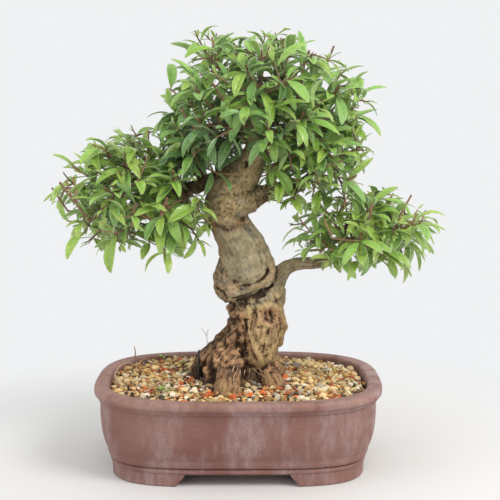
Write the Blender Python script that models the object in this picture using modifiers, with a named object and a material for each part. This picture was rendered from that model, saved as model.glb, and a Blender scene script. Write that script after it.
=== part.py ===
"""Nejikan pomegranate bonsai: a twisted-trunk pomegranate about 41 cm tall, in an unglazed clay pot of gravel.

Lengths are metres and +Z is up; the tables are in millimetres and are scaled by MM. The tree's front faces
-Y. Every shape is drawn about the pot's centre line with z = 0 under its feet, and the whole tree hangs from
one empty, which moves it so that the origin is the middle of the base of its overall box.
"""

import math
import random

import bmesh
import bpy
from mathutils import Quaternion, Vector, noise
from mathutils.bvhtree import BVHTree
from mathutils.geometry import convex_hull_2d, delaunay_2d_cdt

MM = 0.001
GAP = 0.3 * MM

# Pot: outlines are rounded rectangles, given by how far they lie inside the rim's outline
RIM_HALF_LENGTH = 136 * MM
RIM_HALF_DEPTH = 107 * MM
RIM_SQUARENESS = 3.1
FOOT_SQUARENESS = 3.9
POT_SIDES = 32
RIM_TOP = 80
FOOT_BAND_TOP = 16
FLOOR_TOP = 15
FLOOR_UNDER = 9
INNER_WALL = [(34, FLOOR_TOP), (22, 21), (16.5, 38), (14.6, 60)]
RIM_PROFILE = [(13.5, 77.5), (12.4, RIM_TOP), (1.6, RIM_TOP), (0, 78.2), (0, 73.2), (2.8, 71)]
BODY_PROFILE = [(3.3, 69), (5.4, 68), (6, 50), (7.8, 37), (10.4, 28.6), (12.6, 24.4)]
FOOT_PROFILE = [(12.9, 20.5), (14.1, 17.6), (17.4, 16.6), (16.5, 15), (17.1, 0), (26.5, 0),
                (27.5, FLOOR_UNDER)]
CUTOUT_TOP = 11.2
CUTOUT_HALF_FRONT = 47
CUTOUT_HALF_SIDE = 36
CUTOUT_SLOPE = 8
CUTOUT_FROM, CUTOUT_TO = 10, 29
DRAIN_HOLE_RADIUS = 9
DRAIN_HOLE_X = 58

# Soil: its edge lies below the rim and it rises to the trunk, under gravel drawn larger than life
SOIL_EDGE = 72.5
SOIL_EDGE_INSET = 13.9
SOIL_MOUND = 4.5
SOIL_GAP = 1.3 * GAP
GRAIN_SPACING = 23
GRAIN_HEIGHT = 4.8
GRAIN_JITTER = 0.17
WIRE_RADIUS = 0.9
WIRE_X = -38.5
WIRE_DEPTH = 9
WIRE_BELOW = 130
WIRE_GAP = 1.6 * GAP
WIRE_SLEEVE_GAP = 1.2 * GAP
WIRE_ARCH_STEPS = 12
SCREEN_SIZE = 27
SCREEN_THICKNESS = 1.0
SCREEN_BAR = 2.2
SCREEN_CELLS = 2
SCREEN_ROOM = 0.4

# Trunk: strands of wood (x, y, z, radius) that wind round each other and melt together
TRUNK_STRANDS = {
    "core_low": [(12, 4, 50, 25), (13, 4, 80, 27), (14, 3, 105, 24), (18, 2, 128, 22), (16, 2, 145, 22),
                 (10, 4, 160, 22), (7, 5, 176, 19), (6, 3, 190, 17)],
    "smooth_column": [(11, -5, 168, 16), (11, -5, 178, 17.5), (7, -4, 193, 18.2), (0, -2, 208, 17.8),
                      (-8, 0, 221, 17), (-12, 2, 236, 18.5), (-11, 2, 250, 20), (-2, 1, 265, 19),
                      (9, 0, 279, 14.5), (16, -2, 292, 12.5), (20, -4, 306, 11)],
    "left_bulge": [(-1, 12, 200, 8), (-8, 8, 190, 10), (-11.5, 2, 179, 12), (-12, -4, 168, 11.5),
                   (-6, -12, 160, 9)],
    "lip": [(-11, -12, 161, 7.5), (-3, -20, 159.5, 5.5), (8, -22, 163, 4.6), (20, -20, 169, 4.6),
            (29, -13, 177, 5), (30, -6, 188, 5.2), (26, -3, 200, 5), (19, -3, 213, 4.6), (10, -3, 226, 4.4),
            (3, -3, 238, 4)],
    "under_lip": [(-3, -6, 151, 12.5), (7, -6, 150, 16.5), (20, -4, 153, 17), (30, -1, 160, 12)],
    "front_right": [(20, -10, 160, 12), (24, -11, 143, 13.5), (24, -13, 122, 14), (22, -12, 102, 14),
                    (25, -8, 82, 13), (28, -8, 58, 12)],
    "right_knots": [(38, 2, 166, 8), (36, 0, 157, 9), (34, -3, 146, 10), (36, -1, 132, 9.5), (36, 1, 120, 9),
                    (32, 2, 108, 7)],
    "left_shadow": [(-5, -4, 152, 8), (3, -6, 138, 11), (0, -6, 124, 12.5), (-3, -8, 108, 13)],
    "back_strand": [(18, 20, 55, 15), (24, 17, 95, 14), (18, 18, 125, 14), (4, 19, 150, 13),
                    (-4, 14, 172, 12), (-2, 12, 190, 9)],
    "back_upper": [(24, 8, 165, 12), (22, 10, 185, 11), (10, 15, 205, 11), (-4, 16, 222, 11),
                   (-14, 14, 240, 10), (-8, 14, 258, 9)],
    "crotch": [(-24, -2, 244, 10), (-14, -8, 246, 13), (0, -8, 247, 13), (14, -3, 249, 10.5)],
}
ROOT_STRANDS = {
    "left_root": [(4, 2, 124, 12), (-6, 4, 114, 12.5), (-18, 5, 102, 13), (-30, 7, 91, 12.5),
                  (-36, 8, 80, 11.5), (-41, 9, 66, 10), (-46, 10, 52, 8)],
    "left_knees": [(-4, -8, 110, 12), (-15, -10, 97, 12.5), (-23, -12, 84, 12), (-27, -15, 68, 11),
                   (-31, -19, 52, 8)],
    "front_root": [(0, -14, 102, 11), (-6, -22, 90, 12.5), (-9, -32, 82, 12.5), (-10, -44, 73, 12.5),
                   (-11, -57, 62, 12), (-12, -65, 50, 8)],
    "right_root": [(24, -10, 98, 11), (29, -17, 84, 11.5), (33, -22, 74, 11), (38, -27, 62, 9),
                   (42, -31, 50, 6)],
    "right_back_root": [(26, 10, 96, 11), (34, 20, 80, 9.5), (42, 30, 66, 8), (48, 38, 52, 6)],
    "back_root": [(10, 20, 98, 12), (14, 34, 82, 11), (20, 46, 68, 10), (24, 54, 52, 7)],
    "back_left_root": [(-6, 14, 102, 12), (-14, 28, 84, 11), (-20, 39, 70, 9), (-24, 48, 54, 7)],
}
BRANCH_STRANDS = {
    "low_right_branch": [(29, -5, 154, 8), (35, -6, 167, 8.4), (39, -6, 178, 7.8), (45, -6, 185.5, 7),
                         (54, -6, 189, 6.5), (69, -6, 190, 6.3), (82, -5, 192, 6), (94, -4, 199, 5.4),
                         (108, -3, 208, 5)],
    "mid_right_branch": [(0, 2, 243, 12), (16, 2, 252, 10), (30, 3, 257, 8), (46, 4, 260, 7),
                         (62, 4, 264, 6.2)],
    "left_branch": [(6, 6, 272, 10), (-8, 14, 272, 8.5), (-24, 18, 267, 7.6), (-44, 16, 260, 7),
                    (-62, 10, 256, 6.2), (-80, 4, 252, 5.4)],
    "leader": [(16, -2, 292, 12), (20, -4, 306, 10.5), (22, -3, 320, 9), (22, 0, 334, 7), (22, 2, 346, 5.6)],
}
# Dents (x, y, z, radius, depth): the crevice under the lip, knot holes, the fold by the crotch, root hollows
DENTS = [
    (-6, -24, 151, 6, 4), (4, -25, 153, 6, 5.5), (14, -25, 156, 6, 5.5), (24, -22, 161, 5.5, 4.5),
    (33, -18, 143, 5, 4.5), (24, -26, 147, 4, 1.5), (-14, -19, 222, 5, 2.6), (-6, -20, 227, 5, 3),
    (2, -18, 231, 4.5, 2.6), (3, -22, 116, 8, 4), (7, -26, 104, 7, 3.5), (-33, -8, 82, 9, 5),
    (-30, -10, 72, 7, 4), (10, -27, 86, 8, 4.5),
]
STRAND_STEP = 4
TRUNK_VOXEL = 1.7
TRUNK_TRIANGLES = 1850
TRUNK_FOOT = 66
FOOT_CUT_SIZE = 200
BUMP_SIZE = 11
BUMP_HEIGHT = 1.0
KNOBBLE_HEIGHT = 2.4
SMOOTH_WOOD_FROM = 165

# Foliage pads: rounded blocks (centre, radii) whose skin the shoots reach, and the sprays that fill each
PADS = {
    "crown": {"centre": (22, 0, 331), "radii": (103, 84, 70), "shoots": 28, "lowest": -0.62},
    "shoulder": {"centre": (80, -6, 289), "radii": (47, 50, 42), "shoots": 7, "lowest": -1.0},
    "left": {"centre": (-97, -4, 251), "radii": (82, 60, 54), "shoots": 15, "lowest": -0.75},
    "left_upper": {"centre": (-40, -4, 280), "radii": (40, 42, 34), "shoots": 6, "lowest": -0.4},
    "right": {"centre": (122, -4, 220), "radii": (69, 52, 42), "shoots": 12, "lowest": -0.75},
}
# Each spray: pad, the woody point that its limb leaves, and the way it faces from the pad's centre
SPRAYS = {
    "crown_top": ("crown", (22, 2, 344), (0.05, 0.1, 1)),
    "crown_top_left": ("crown", (22, 1, 338), (-0.8, 0.0, 0.6)),
    "crown_top_right": ("crown", (22, 1, 340), (0.62, -0.1, 0.75)),
    "crown_front": ("crown", (22, -2, 328), (-0.1, -0.9, 0.5)),
    "crown_back": ("crown", (22, 1, 330), (0.1, 0.9, 0.5)),
    "crown_left_front": ("crown", (21, -4, 318), (-0.8, -0.65, -0.1)),
    "crown_left_back": ("crown", (21, -2, 322), (-0.8, 0.65, -0.1)),
    "crown_right": ("crown", (22, 0, 334), (1, 0.05, 0.25)),
    "crown_right_front": ("crown", (21, -4, 316), (0.66, -0.8, -0.05)),
    "crown_right_back": ("crown", (21, -3, 320), (0.6, 0.85, -0.1)),
    "shoulder_right": ("shoulder", (60, 4, 263.5), (0.9, 0.3, 0.35)),
    "shoulder_front": ("shoulder", (48, 4, 260.5), (0.0, -1, 0.0)),
    "left_tip": ("left", (-78, 4, 252.5), (-1, -0.1, 0.0)),
    "left_front": ("left", (-60, 10, 256.5), (-0.15, -1, -0.1)),
    "left_back": ("left", (-52, 14, 258), (-0.2, 1, 0.1)),
    "left_top": ("left", (-66, 8, 255.5), (-0.15, 0.0, 1)),
    "left_inner": ("left", (-40, 16, 261), (0.85, -0.5, 0.0)),
    "left_upper_front": ("left_upper", (-28, 17.5, 265.5), (0.1, -1, 0.2)),
    "left_upper_back": ("left_upper", (-34, 17, 263.5), (-0.1, 1, 0.2)),
    "right_tip": ("right", (106, -3, 207), (1, 0.0, 0.05)),
    "right_front": ("right", (90, -4, 196.5), (-0.05, -1, 0.0)),
    "right_back": ("right", (96, -4, 200), (0.05, 1, 0.05)),
    "right_top": ("right", (100, -4, 202.5), (-0.25, 0.0, 1)),
}
PAD_SQUARENESS = 2.5
LIMB_SHARE = 0.42
LIMB_RADIUS = 3.6
STUB_RADIUS = 2.5
TWIG_TIP_RADIUS = 1.5
SHOOT_RADIUS = 1.15
SHOOT_TIP_RADIUS = 0.75
SHOOT_REACH = 0.8
SHOOT_BOW = 0.14
SHOOT_BOWS = [(0, 0, 1), (0, 0, -0.6), (0.9, 0.4, 0.2), (-0.9, -0.4, 0.2), (0.4, -0.9, 0.3), (-0.4, 0.9, 0.3)]
GOLDEN_TURN = 2.39996
TWIG_SHARE = 0.62

# Leaf: oblong, blunt, folded along its midrib and arching down
LEAF_LENGTH = (27, 40)
LEAF_SLENDERNESS = 0.38
LEAF_STATIONS = [(0.3, 0.88), (0.74, 0.86)]
LEAF_THICKNESS = 0.75
LEAF_FOLD = 0.07
LEAF_PAIR_PLACES = (0.45, 0.72, 0.96)
LEAF_DROOP = (0.35, 0.95)
SHORT_SHOOT = 25
LEAF_CLEARANCE = 0.35
WOOD_CLEARANCE = 0.4
SEED = 41

COLOURS = {
    "clay": ((0.235, 0.125, 0.11, 1), 0.8),
    "gravel": ((0.60, 0.46, 0.28, 1), 0.95),
    "bark": ((0.27, 0.205, 0.125, 1), 0.85),
    "leaf": ((0.085, 0.21, 0.035, 1), 0.45),
    "wire": ((0.03, 0.045, 0.045, 1), 0.5),
    "screen": ((0.02, 0.02, 0.02, 1), 0.6),
}


# Scene, materials and mesh helpers


def clear_scene():
    for obj in list(bpy.data.objects):
        bpy.data.objects.remove(obj, do_unlink=True)


def new_collection(name):
    collection = bpy.data.collections.new(name)
    bpy.context.scene.collection.children.link(collection)
    return collection


def material(name):
    found = bpy.data.materials.get(name)
    if found:
        return found
    made = bpy.data.materials.new(name)
    made.use_nodes = True
    shader = made.node_tree.nodes["Principled BSDF"]
    colour, roughness = COLOURS[name]
    shader.inputs["Base Color"].default_value = colour
    shader.inputs["Roughness"].default_value = roughness
    made.diffuse_color = colour
    return made


def object_of(name, verts, faces):
    mesh = bpy.data.meshes.new(name)
    mesh.from_pydata([tuple(v) for v in verts], [], faces)
    mesh.validate()
    obj = bpy.data.objects.new(name, mesh)
    bpy.context.scene.collection.objects.link(obj)
    return obj


def bake(obj):
    """Turns an object's modifiers, or a curve, into its own mesh."""
    bpy.context.view_layer.update()
    graph = bpy.context.evaluated_depsgraph_get()
    mesh = bpy.data.meshes.new_from_object(obj.evaluated_get(graph))
    if obj.type == "MESH":
        obj.modifiers.clear()
        obj.data = mesh
        return obj
    name = obj.name
    solid = bpy.data.objects.new(name, mesh)
    solid.matrix_world = obj.matrix_world
    bpy.context.scene.collection.objects.link(solid)
    bpy.data.objects.remove(obj, do_unlink=True)
    solid.name = name
    edit(solid, lambda bm: bmesh.ops.remove_doubles(bm, verts=bm.verts, dist=0.001 * MM))
    return solid


def edit(obj, change):
    bm = bmesh.new()
    bm.from_mesh(obj.data)
    change(bm)
    bm.to_mesh(obj.data)
    bm.free()


def boolean(obj, operation, others, solver="MANIFOLD"):
    """Joins or cuts with several objects in one modifier, applies it and removes them."""
    pool = bpy.data.collections.new("operands")
    bpy.context.scene.collection.children.link(pool)
    for other in others:
        pool.objects.link(other)
    modifier = obj.modifiers.new(operation.lower(), "BOOLEAN")
    modifier.operation = operation
    modifier.operand_type = "COLLECTION"
    modifier.collection = pool
    modifier.solver = solver
    bake(obj)
    for other in others:
        bpy.data.objects.remove(other, do_unlink=True)
    bpy.data.collections.remove(pool)
    return obj


def keep_largest_body(bm):
    """Drops the loose scraps that a cut leaves."""
    left = set(bm.verts)
    bodies = []
    while left:
        body, edge_of_body = set(), [left.pop()]
        while edge_of_body:
            vert = edge_of_body.pop()
            body.add(vert)
            for edge in vert.link_edges:
                other = edge.other_vert(vert)
                if other in left:
                    left.discard(other)
                    edge_of_body.append(other)
        bodies.append(body)
    bodies.sort(key=len)
    for body in bodies[:-1]:
        bmesh.ops.delete(bm, geom=list(body), context="VERTS")


def smooth_path(points, step):
    """Samples a smooth curve through (x, y, z, radius) points about every step."""
    rows = [Vector(p) for p in points]
    rows = [2 * rows[0] - rows[1], *rows, 2 * rows[-1] - rows[-2]]
    path = []
    for before, start, end, after in zip(rows, rows[1:], rows[2:], rows[3:]):
        count = max(1, round((end.xyz - start.xyz).length / step))
        for k in range(count):
            t = k / count
            path.append(0.5 * ((2 * start) + (end - before) * t
                               + (2 * before - 5 * start + 4 * end - after) * t * t
                               + (3 * start - before - 3 * end + after) * t ** 3))
    path.append(rows[-2])
    return path


def tube(name, points, radii, level):
    """A capped tube along a polyline, in metres; it has 4 + 2 * level sides."""
    curve = bpy.data.curves.new(name, "CURVE")
    curve.dimensions = "3D"
    curve.bevel_depth = 1.0
    curve.bevel_resolution = level
    curve.use_fill_caps = True
    spline = curve.splines.new("POLY")
    spline.points.add(len(points) - 1)
    for spot, place, radius in zip(spline.points, points, radii):
        spot.co = (*place, 1)
        spot.radius = radius
    obj = bpy.data.objects.new(name, curve)
    bpy.context.scene.collection.objects.link(obj)
    return bake(obj)


def finish(obj, collection, root, material_name):
    """Names the piece's material and puts it in the tree's collection, under its empty."""
    for holder in list(obj.users_collection):
        holder.objects.unlink(obj)
    collection.objects.link(obj)
    obj.data.materials.clear()
    obj.data.materials.append(material(material_name))
    obj.parent = root
    return obj


# Pot


def outline(inset, squareness):
    """The pot's plan at an inset from the rim's outline, as POT_SIDES points from +X round through +Y."""
    half_length, half_depth = RIM_HALF_LENGTH - inset * MM, RIM_HALF_DEPTH - inset * MM
    points = []
    for k in range(POT_SIDES):
        turn = 2 * math.pi * (k + 0.5) / POT_SIDES
        c, s = math.cos(turn), math.sin(turn)
        reach = (abs(c) ** squareness + abs(s) ** squareness) ** (-1 / squareness)
        points.append((half_length * reach * c, half_depth * reach * s))
    return points


def ring(inset, height, squareness):
    return [Vector((x, y, height * MM)) for x, y in outline(inset, squareness)]


def squareness_at(height):
    share = min(max((height - FOOT_BAND_TOP) / (RIM_TOP - FOOT_BAND_TOP), 0), 1)
    return FOOT_SQUARENESS + (RIM_SQUARENESS - FOOT_SQUARENESS) * share


def loft(name, rings):
    """A closed skin over rings of equal count, with a flat cap at both ends."""
    count = len(rings[0])
    verts = [v for one in rings for v in one]
    faces = [tuple(reversed(range(count)))]
    for k in range(len(rings) - 1):
        for j in range(count):
            a, b = k * count + j, k * count + (j + 1) % count
            faces.append((a, b, b + count, a + count))
    faces.append(tuple(range((len(rings) - 1) * count, len(rings) * count)))
    obj = object_of(name, verts, faces)
    edit(obj, lambda bm: bmesh.ops.recalc_face_normals(bm, faces=bm.faces))
    return obj


def foot_cutter(half_width, along_y, near, far):
    """A low prism with sloping ends that opens the foot band between two feet."""
    low, bend = half_width + CUTOUT_SLOPE, half_width + 0.35 * CUTOUT_SLOPE
    half = [(low, -2), (low - 0.6, 2), (bend, 0.75 * CUTOUT_TOP), (half_width, CUTOUT_TOP)]
    shape = half + [(-x, z) for x, z in reversed(half)]
    rings = [[Vector((x, d, z) if along_y else (d, x, z)) * MM for x, z in shape] for d in (near, far)]
    return loft("foot_cutter", rings)


def make_pot():
    profile = INNER_WALL + RIM_PROFILE + BODY_PROFILE + FOOT_PROFILE
    pot = loft("pot", [ring(inset, z, squareness_at(z)) for inset, z in profile])
    front, side = RIM_HALF_DEPTH / MM, RIM_HALF_LENGTH / MM
    cutters = []
    for sign in (-1, 1):
        near, far = sorted((sign * (front - CUTOUT_FROM), sign * (front - CUTOUT_TO)))
        cutters.append(foot_cutter(CUTOUT_HALF_FRONT, True, near, far))
        near, far = sorted((sign * (side - CUTOUT_FROM), sign * (side - CUTOUT_TO)))
        cutters.append(foot_cutter(CUTOUT_HALF_SIDE, False, near, far))
        bpy.ops.mesh.primitive_cylinder_add(
            vertices=20, radius=DRAIN_HOLE_RADIUS * MM, depth=20 * MM,
            location=(sign * DRAIN_HOLE_X * MM, 0, FLOOR_TOP * MM))
        cutters.append(bpy.context.object)
    return boolean(pot, "DIFFERENCE", cutters)


# Soil, drainage screens and tie wire


def soil_height(x, y):
    """The gravel's mean level in millimetres: highest at the trunk, lowest along the pot's wall."""
    across = min(1.0, math.hypot(x / RIM_HALF_LENGTH, y / RIM_HALF_DEPTH))
    return SOIL_EDGE + SOIL_MOUND * (1 - across ** 2)


def gravel_points(inner):
    """A jittered triangular lattice inside the soil's outline: every third point is the top of a grain."""
    rng = random.Random(SEED)
    step = GRAIN_SPACING / math.sqrt(3) * MM
    row_step = step * math.sqrt(3) / 2
    jitter = GRAIN_JITTER * step
    half_length = max(x for x, _ in inner) - 0.45 * step
    half_depth = max(y for _, y in inner) - 0.45 * step
    points = []
    rows = int(half_depth / row_step) + 1
    columns = int(half_length / step) + 2
    for j in range(-rows, rows + 1):
        for i in range(-columns, columns + 1):
            x = (i + 0.5 * (j % 2)) * step + rng.uniform(-jitter, jitter)
            y = j * row_step + rng.uniform(-jitter, jitter)
            lift = rng.uniform(0.6, 1.25) * GRAIN_HEIGHT if (i - j // 2 - j % 2 + j) % 3 == 0 else 0
            if abs(x / half_length) ** RIM_SQUARENESS + abs(y / half_depth) ** RIM_SQUARENESS < 1:
                height = soil_height(x, y) - 0.5 * GRAIN_HEIGHT + lift + rng.uniform(-0.3, 0.3)
                points.append(Vector((x, y, height * MM)))
    return points


def make_soil():
    gap = SOIL_GAP / MM
    walls = []
    for inset, z in INNER_WALL:
        lift = gap if z == FLOOR_TOP else 0
        walls.append(ring(inset + gap, z + lift, squareness_at(z)))
    edge = ring(SOIL_EDGE_INSET + gap, SOIL_EDGE, squareness_at(RIM_TOP))
    walls.append([Vector((p.x, p.y, (soil_height(p.x, p.y) - 1) * MM)) for p in edge])
    grains = gravel_points([(p.x, p.y) for p in edge])
    count = POT_SIDES
    flat = [p.xy for p in walls[-1]] + [p.xy for p in grains]
    rim_edges = [(k, (k + 1) % count) for k in range(count)]
    _, _, triangles, _, _, _ = delaunay_2d_cdt(flat, rim_edges, [], 1, 1e-7)
    start = count * (len(walls) - 1)
    verts = [v for one in walls for v in one] + grains
    faces = [tuple(reversed(range(count)))]
    for k in range(len(walls) - 1):
        for j in range(count):
            a, b = k * count + j, k * count + (j + 1) % count
            faces.append((a, b, b + count, a + count))
    faces += [tuple(start + v for v in triangle) for triangle in triangles]
    soil = object_of("soil", verts, faces)
    edit(soil, lambda bm: bmesh.ops.recalc_face_normals(bm, faces=bm.faces))
    return soil


def make_screen(name, x):
    """A square of coarse plastic mesh that lies on the pot's floor over a drainage hole."""
    level = FLOOR_TOP + GAP / MM + SCREEN_THICKNESS / 2
    bpy.ops.mesh.primitive_cube_add(size=1, location=(x * MM, 0, level * MM))
    screen = bpy.context.object
    screen.name = name
    screen.scale = (SCREEN_SIZE * MM, SCREEN_SIZE * MM, SCREEN_THICKNESS * MM)
    bpy.ops.object.transform_apply(location=True, rotation=False, scale=True)
    pitch = (SCREEN_SIZE - SCREEN_BAR) / SCREEN_CELLS
    cutters = []
    for i in range(SCREEN_CELLS):
        for j in range(SCREEN_CELLS):
            place = [(k - (SCREEN_CELLS - 1) / 2) * pitch for k in (i, j)]
            bpy.ops.mesh.primitive_cube_add(
                size=1, location=((x + place[0]) * MM, place[1] * MM, level * MM))
            cutter = bpy.context.object
            cutter.scale = ((pitch - SCREEN_BAR) * MM, (pitch - SCREEN_BAR) * MM, 6 * MM)
            bpy.ops.object.transform_apply(location=True, rotation=False, scale=True)
            cutters.append(cutter)
    return boolean(screen, "DIFFERENCE", cutters)


def screen_recess(x):
    """What the soil leaves free for a screen."""
    size = (SCREEN_SIZE + 2 * SCREEN_ROOM) * MM
    height = 2 * (SCREEN_THICKNESS + 2 * SCREEN_ROOM) * MM
    bpy.ops.mesh.primitive_cube_add(size=1, location=(x * MM, 0, FLOOR_TOP * MM + GAP))
    recess = bpy.context.object
    recess.scale = (size, size, height)
    bpy.ops.object.transform_apply(location=True, rotation=False, scale=True)
    return recess


def section_points(obj, x):
    """Where the object's edges cross the plane at x, as (y, z)."""
    found = []
    for edge in obj.data.edges:
        a, b = (obj.data.vertices[v].co for v in edge.vertices)
        if (a.x - x) * (b.x - x) < 0:
            spot = a.lerp(b, (x - a.x) / (b.x - a.x))
            found.append((spot.y, spot.z))
    return found


def wire_path(trunk):
    """The taut path over the left root: the hull of the root's section, a wire's radius and a gap away."""
    lowest = (SOIL_EDGE - WIRE_DEPTH) * MM
    section = []
    for share in (-1, -0.5, 0, 0.5, 1):
        section += section_points(trunk, (WIRE_X + share * WIRE_RADIUS) * MM)
    section = [p for p in section if lowest < p[1] < WIRE_BELOW * MM]
    hull = [section[k] for k in convex_hull_2d([Vector(p) for p in section])]
    away = WIRE_RADIUS * MM + WIRE_GAP
    arch = []
    for k in range(WIRE_ARCH_STEPS + 1):
        turn = math.pi * k / WIRE_ARCH_STEPS
        way = (math.cos(turn), math.sin(turn))
        y, z = max(hull, key=lambda p: p[0] * way[0] + p[1] * way[1])
        arch.append((y + away * way[0], z + away * way[1]))
    path = [(arch[0][0], lowest), *arch, (arch[-1][0], lowest)]
    spots = [Vector((WIRE_X * MM, y, z)) for y, z in path]
    kept = [spots[0]]
    for spot in spots[1:]:
        if (spot - kept[-1]).length > GAP:
            kept.append(spot)
    return kept


# Trunk


def strand(name, points):
    path = smooth_path(points, STRAND_STEP)
    return tube(name, [p.xyz * MM for p in path], [p.w * MM for p in path], 4)


def wood_relief(point):
    """How far the bark stands out of the strands at a point, in millimetres."""
    spot = Vector(point)
    rise = BUMP_HEIGHT * noise.noise(spot / BUMP_SIZE)
    rough = min(max((SMOOTH_WOOD_FROM - spot.z) / 40, 0), 1)
    rise += rough * KNOBBLE_HEIGHT * noise.noise(spot / (0.8 * BUMP_SIZE) + Vector((7, 3, 5)))
    for x, y, z, radius, depth in DENTS:
        distance = (spot - Vector((x, y, z))).length
        if distance < 2.5 * radius:
            rise -= depth * math.exp(-((distance / radius) ** 2))
    return rise


def make_trunk(limbs):
    strands = {**TRUNK_STRANDS, **ROOT_STRANDS, **BRANCH_STRANDS}
    tubes = [strand(name, points) for name, points in strands.items()]
    verts, faces = [], []
    for one in tubes:
        first = len(verts)
        verts += [v.co.copy() for v in one.data.vertices]
        faces += [tuple(first + v for v in face.vertices) for face in one.data.polygons]
        bpy.data.objects.remove(one, do_unlink=True)
    trunk = object_of("trunk", verts, faces)
    melt = trunk.modifiers.new("melt", "REMESH")
    melt.mode = "VOXEL"
    melt.voxel_size = TRUNK_VOXEL * MM
    soften = trunk.modifiers.new("soften", "SMOOTH")
    soften.factor = 0.5
    soften.iterations = 3
    bake(trunk)
    rises = [wood_relief(v.co / MM) for v in trunk.data.vertices]
    normals = [v.normal.copy() for v in trunk.data.vertices]
    for vert, normal, rise in zip(trunk.data.vertices, normals, rises):
        vert.co += normal * rise * MM
    trunk.data.update()
    thin = trunk.modifiers.new("thin", "DECIMATE")
    thin.ratio = TRUNK_TRIANGLES / (2 * len(trunk.data.polygons))
    bake(trunk)
    bpy.ops.mesh.primitive_cube_add(size=1, location=(0, 0, (TRUNK_FOOT - FOOT_CUT_SIZE / 2) * MM))
    below = bpy.context.object
    below.scale = Vector((1, 1, 1)) * FOOT_CUT_SIZE * MM
    bpy.ops.object.transform_apply(location=True, rotation=False, scale=True)
    boolean(trunk, "DIFFERENCE", [below])
    edit(trunk, keep_largest_body)
    return boolean(trunk, "UNION", limbs)


# Sprays: where limbs, twigs, shoots and leaves go


def pad_point(pad, way, share):
    """A point towards way from the pad's centre, at a share of the pad's size that way, in millimetres."""
    centre, radii = Vector(PADS[pad]["centre"]), Vector(PADS[pad]["radii"])
    unit = way.normalized()
    stretch = sum(abs(unit[k] / radii[k]) ** PAD_SQUARENESS for k in range(3)) ** (1 / PAD_SQUARENESS)
    return centre + unit * (share / stretch)


def shoot_tips(pad):
    """Evenly spread points near the pad's skin, each with the spray that it belongs to."""
    rng = random.Random(SEED + len(pad))
    facing = {name: Vector(way).normalized() for name, (home, _, way) in SPRAYS.items() if home == pad}
    lowest, count = PADS[pad]["lowest"], PADS[pad]["shoots"]
    tips = []
    for k in range(count):
        height = 0.97 - (0.97 - lowest) * (k + 0.5) / count
        turn = GOLDEN_TURN * k + rng.uniform(-0.25, 0.25)
        flat = math.sqrt(max(0, 1 - height * height))
        way = Vector((flat * math.cos(turn), flat * math.sin(turn), height))
        tip = pad_point(pad, way, SHOOT_REACH * rng.uniform(0.86, 1.06))
        owner = max(facing, key=lambda name: facing[name].dot(way))
        tips.append((owner, tip))
    return tips


def bend(start, middle, end, count):
    """Points along a quadratic curve."""
    path = []
    for k in range(count + 1):
        t = k / count
        path.append(start * (1 - t) ** 2 + middle * 2 * t * (1 - t) + end * t * t)
    return path


def limb_path(pad, start, goal):
    """The woody limb from the trunk to where a spray's twig takes over, bowed a little upwards."""
    end = start + (goal - start) * LIMB_SHARE
    middle = (start + end) / 2 + Vector((0, 0, 0.08 * (end - start).length))
    return bend(start, middle, end, 2)


def plan_sprays():
    """For each spray its limb, its twig and its shoots, as paths in millimetres."""
    tips = {name: [] for name in SPRAYS}
    for pad in PADS:
        for owner, tip in shoot_tips(pad):
            tips[owner].append(tip)
    plans = {}
    for name, (pad, start, _) in SPRAYS.items():
        middle = sum(tips[name], Vector()) / len(tips[name])
        limb = limb_path(pad, Vector(start), middle)
        way = (limb[-1] - limb[-2]).normalized()
        base = limb[-1] + way * (GAP / MM)
        end = base + (middle - base) * TWIG_SHARE
        reach = (end - base).length
        twig = [base, base + way * 0.45 * reach, end]
        plans[name] = {"limb": limb, "twig": twig, "tips": tips[name]}
    return plans


def shoot_path(twig, tip, fork, bow):
    """A shoot from a place along the twig to its tip, bowed the given way."""
    start = twig[1].lerp(twig[2], fork)
    middle = (start + tip) / 2 + bow * SHOOT_BOW * (tip - start).length
    return bend(start, middle, tip, 2)


# Leaves


def leaf_shape(base, way, up, length, width, droop, spare=0.0):
    """The corners and faces of a closed leaf, in millimetres. Spare makes it fatter, for a clearance test."""
    side = way.cross(up).normalized()
    face = side.cross(way).normalized()
    spot, verts, before = base.copy(), [base.copy()], 0.0
    for share, swell in [*LEAF_STATIONS, (1.0, 0.0)]:
        turn = droop * (0.5 * (before + share) - 0.15)
        heading = way * math.cos(turn) - face * math.sin(turn)
        normal = way * math.sin(turn) + face * math.cos(turn)
        spot = spot + heading * length * (share - before)
        half = 0.5 * width * swell + spare
        if swell:
            lift = LEAF_FOLD * width + spare
            verts += [spot + side * half + normal * lift, spot - side * half + normal * lift,
                      spot - normal * (LEAF_THICKNESS + spare)]
        else:
            verts.append(spot + heading * spare)
        before = share
    faces = [(0, 1, 3), (0, 3, 2), (0, 2, 1)]
    faces += [(1, 4, 3), (4, 6, 3), (3, 6, 2), (6, 5, 2), (2, 5, 1), (5, 4, 1)]
    faces += [(4, 7, 6), (6, 7, 5), (5, 7, 4)]
    return verts, faces


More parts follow.
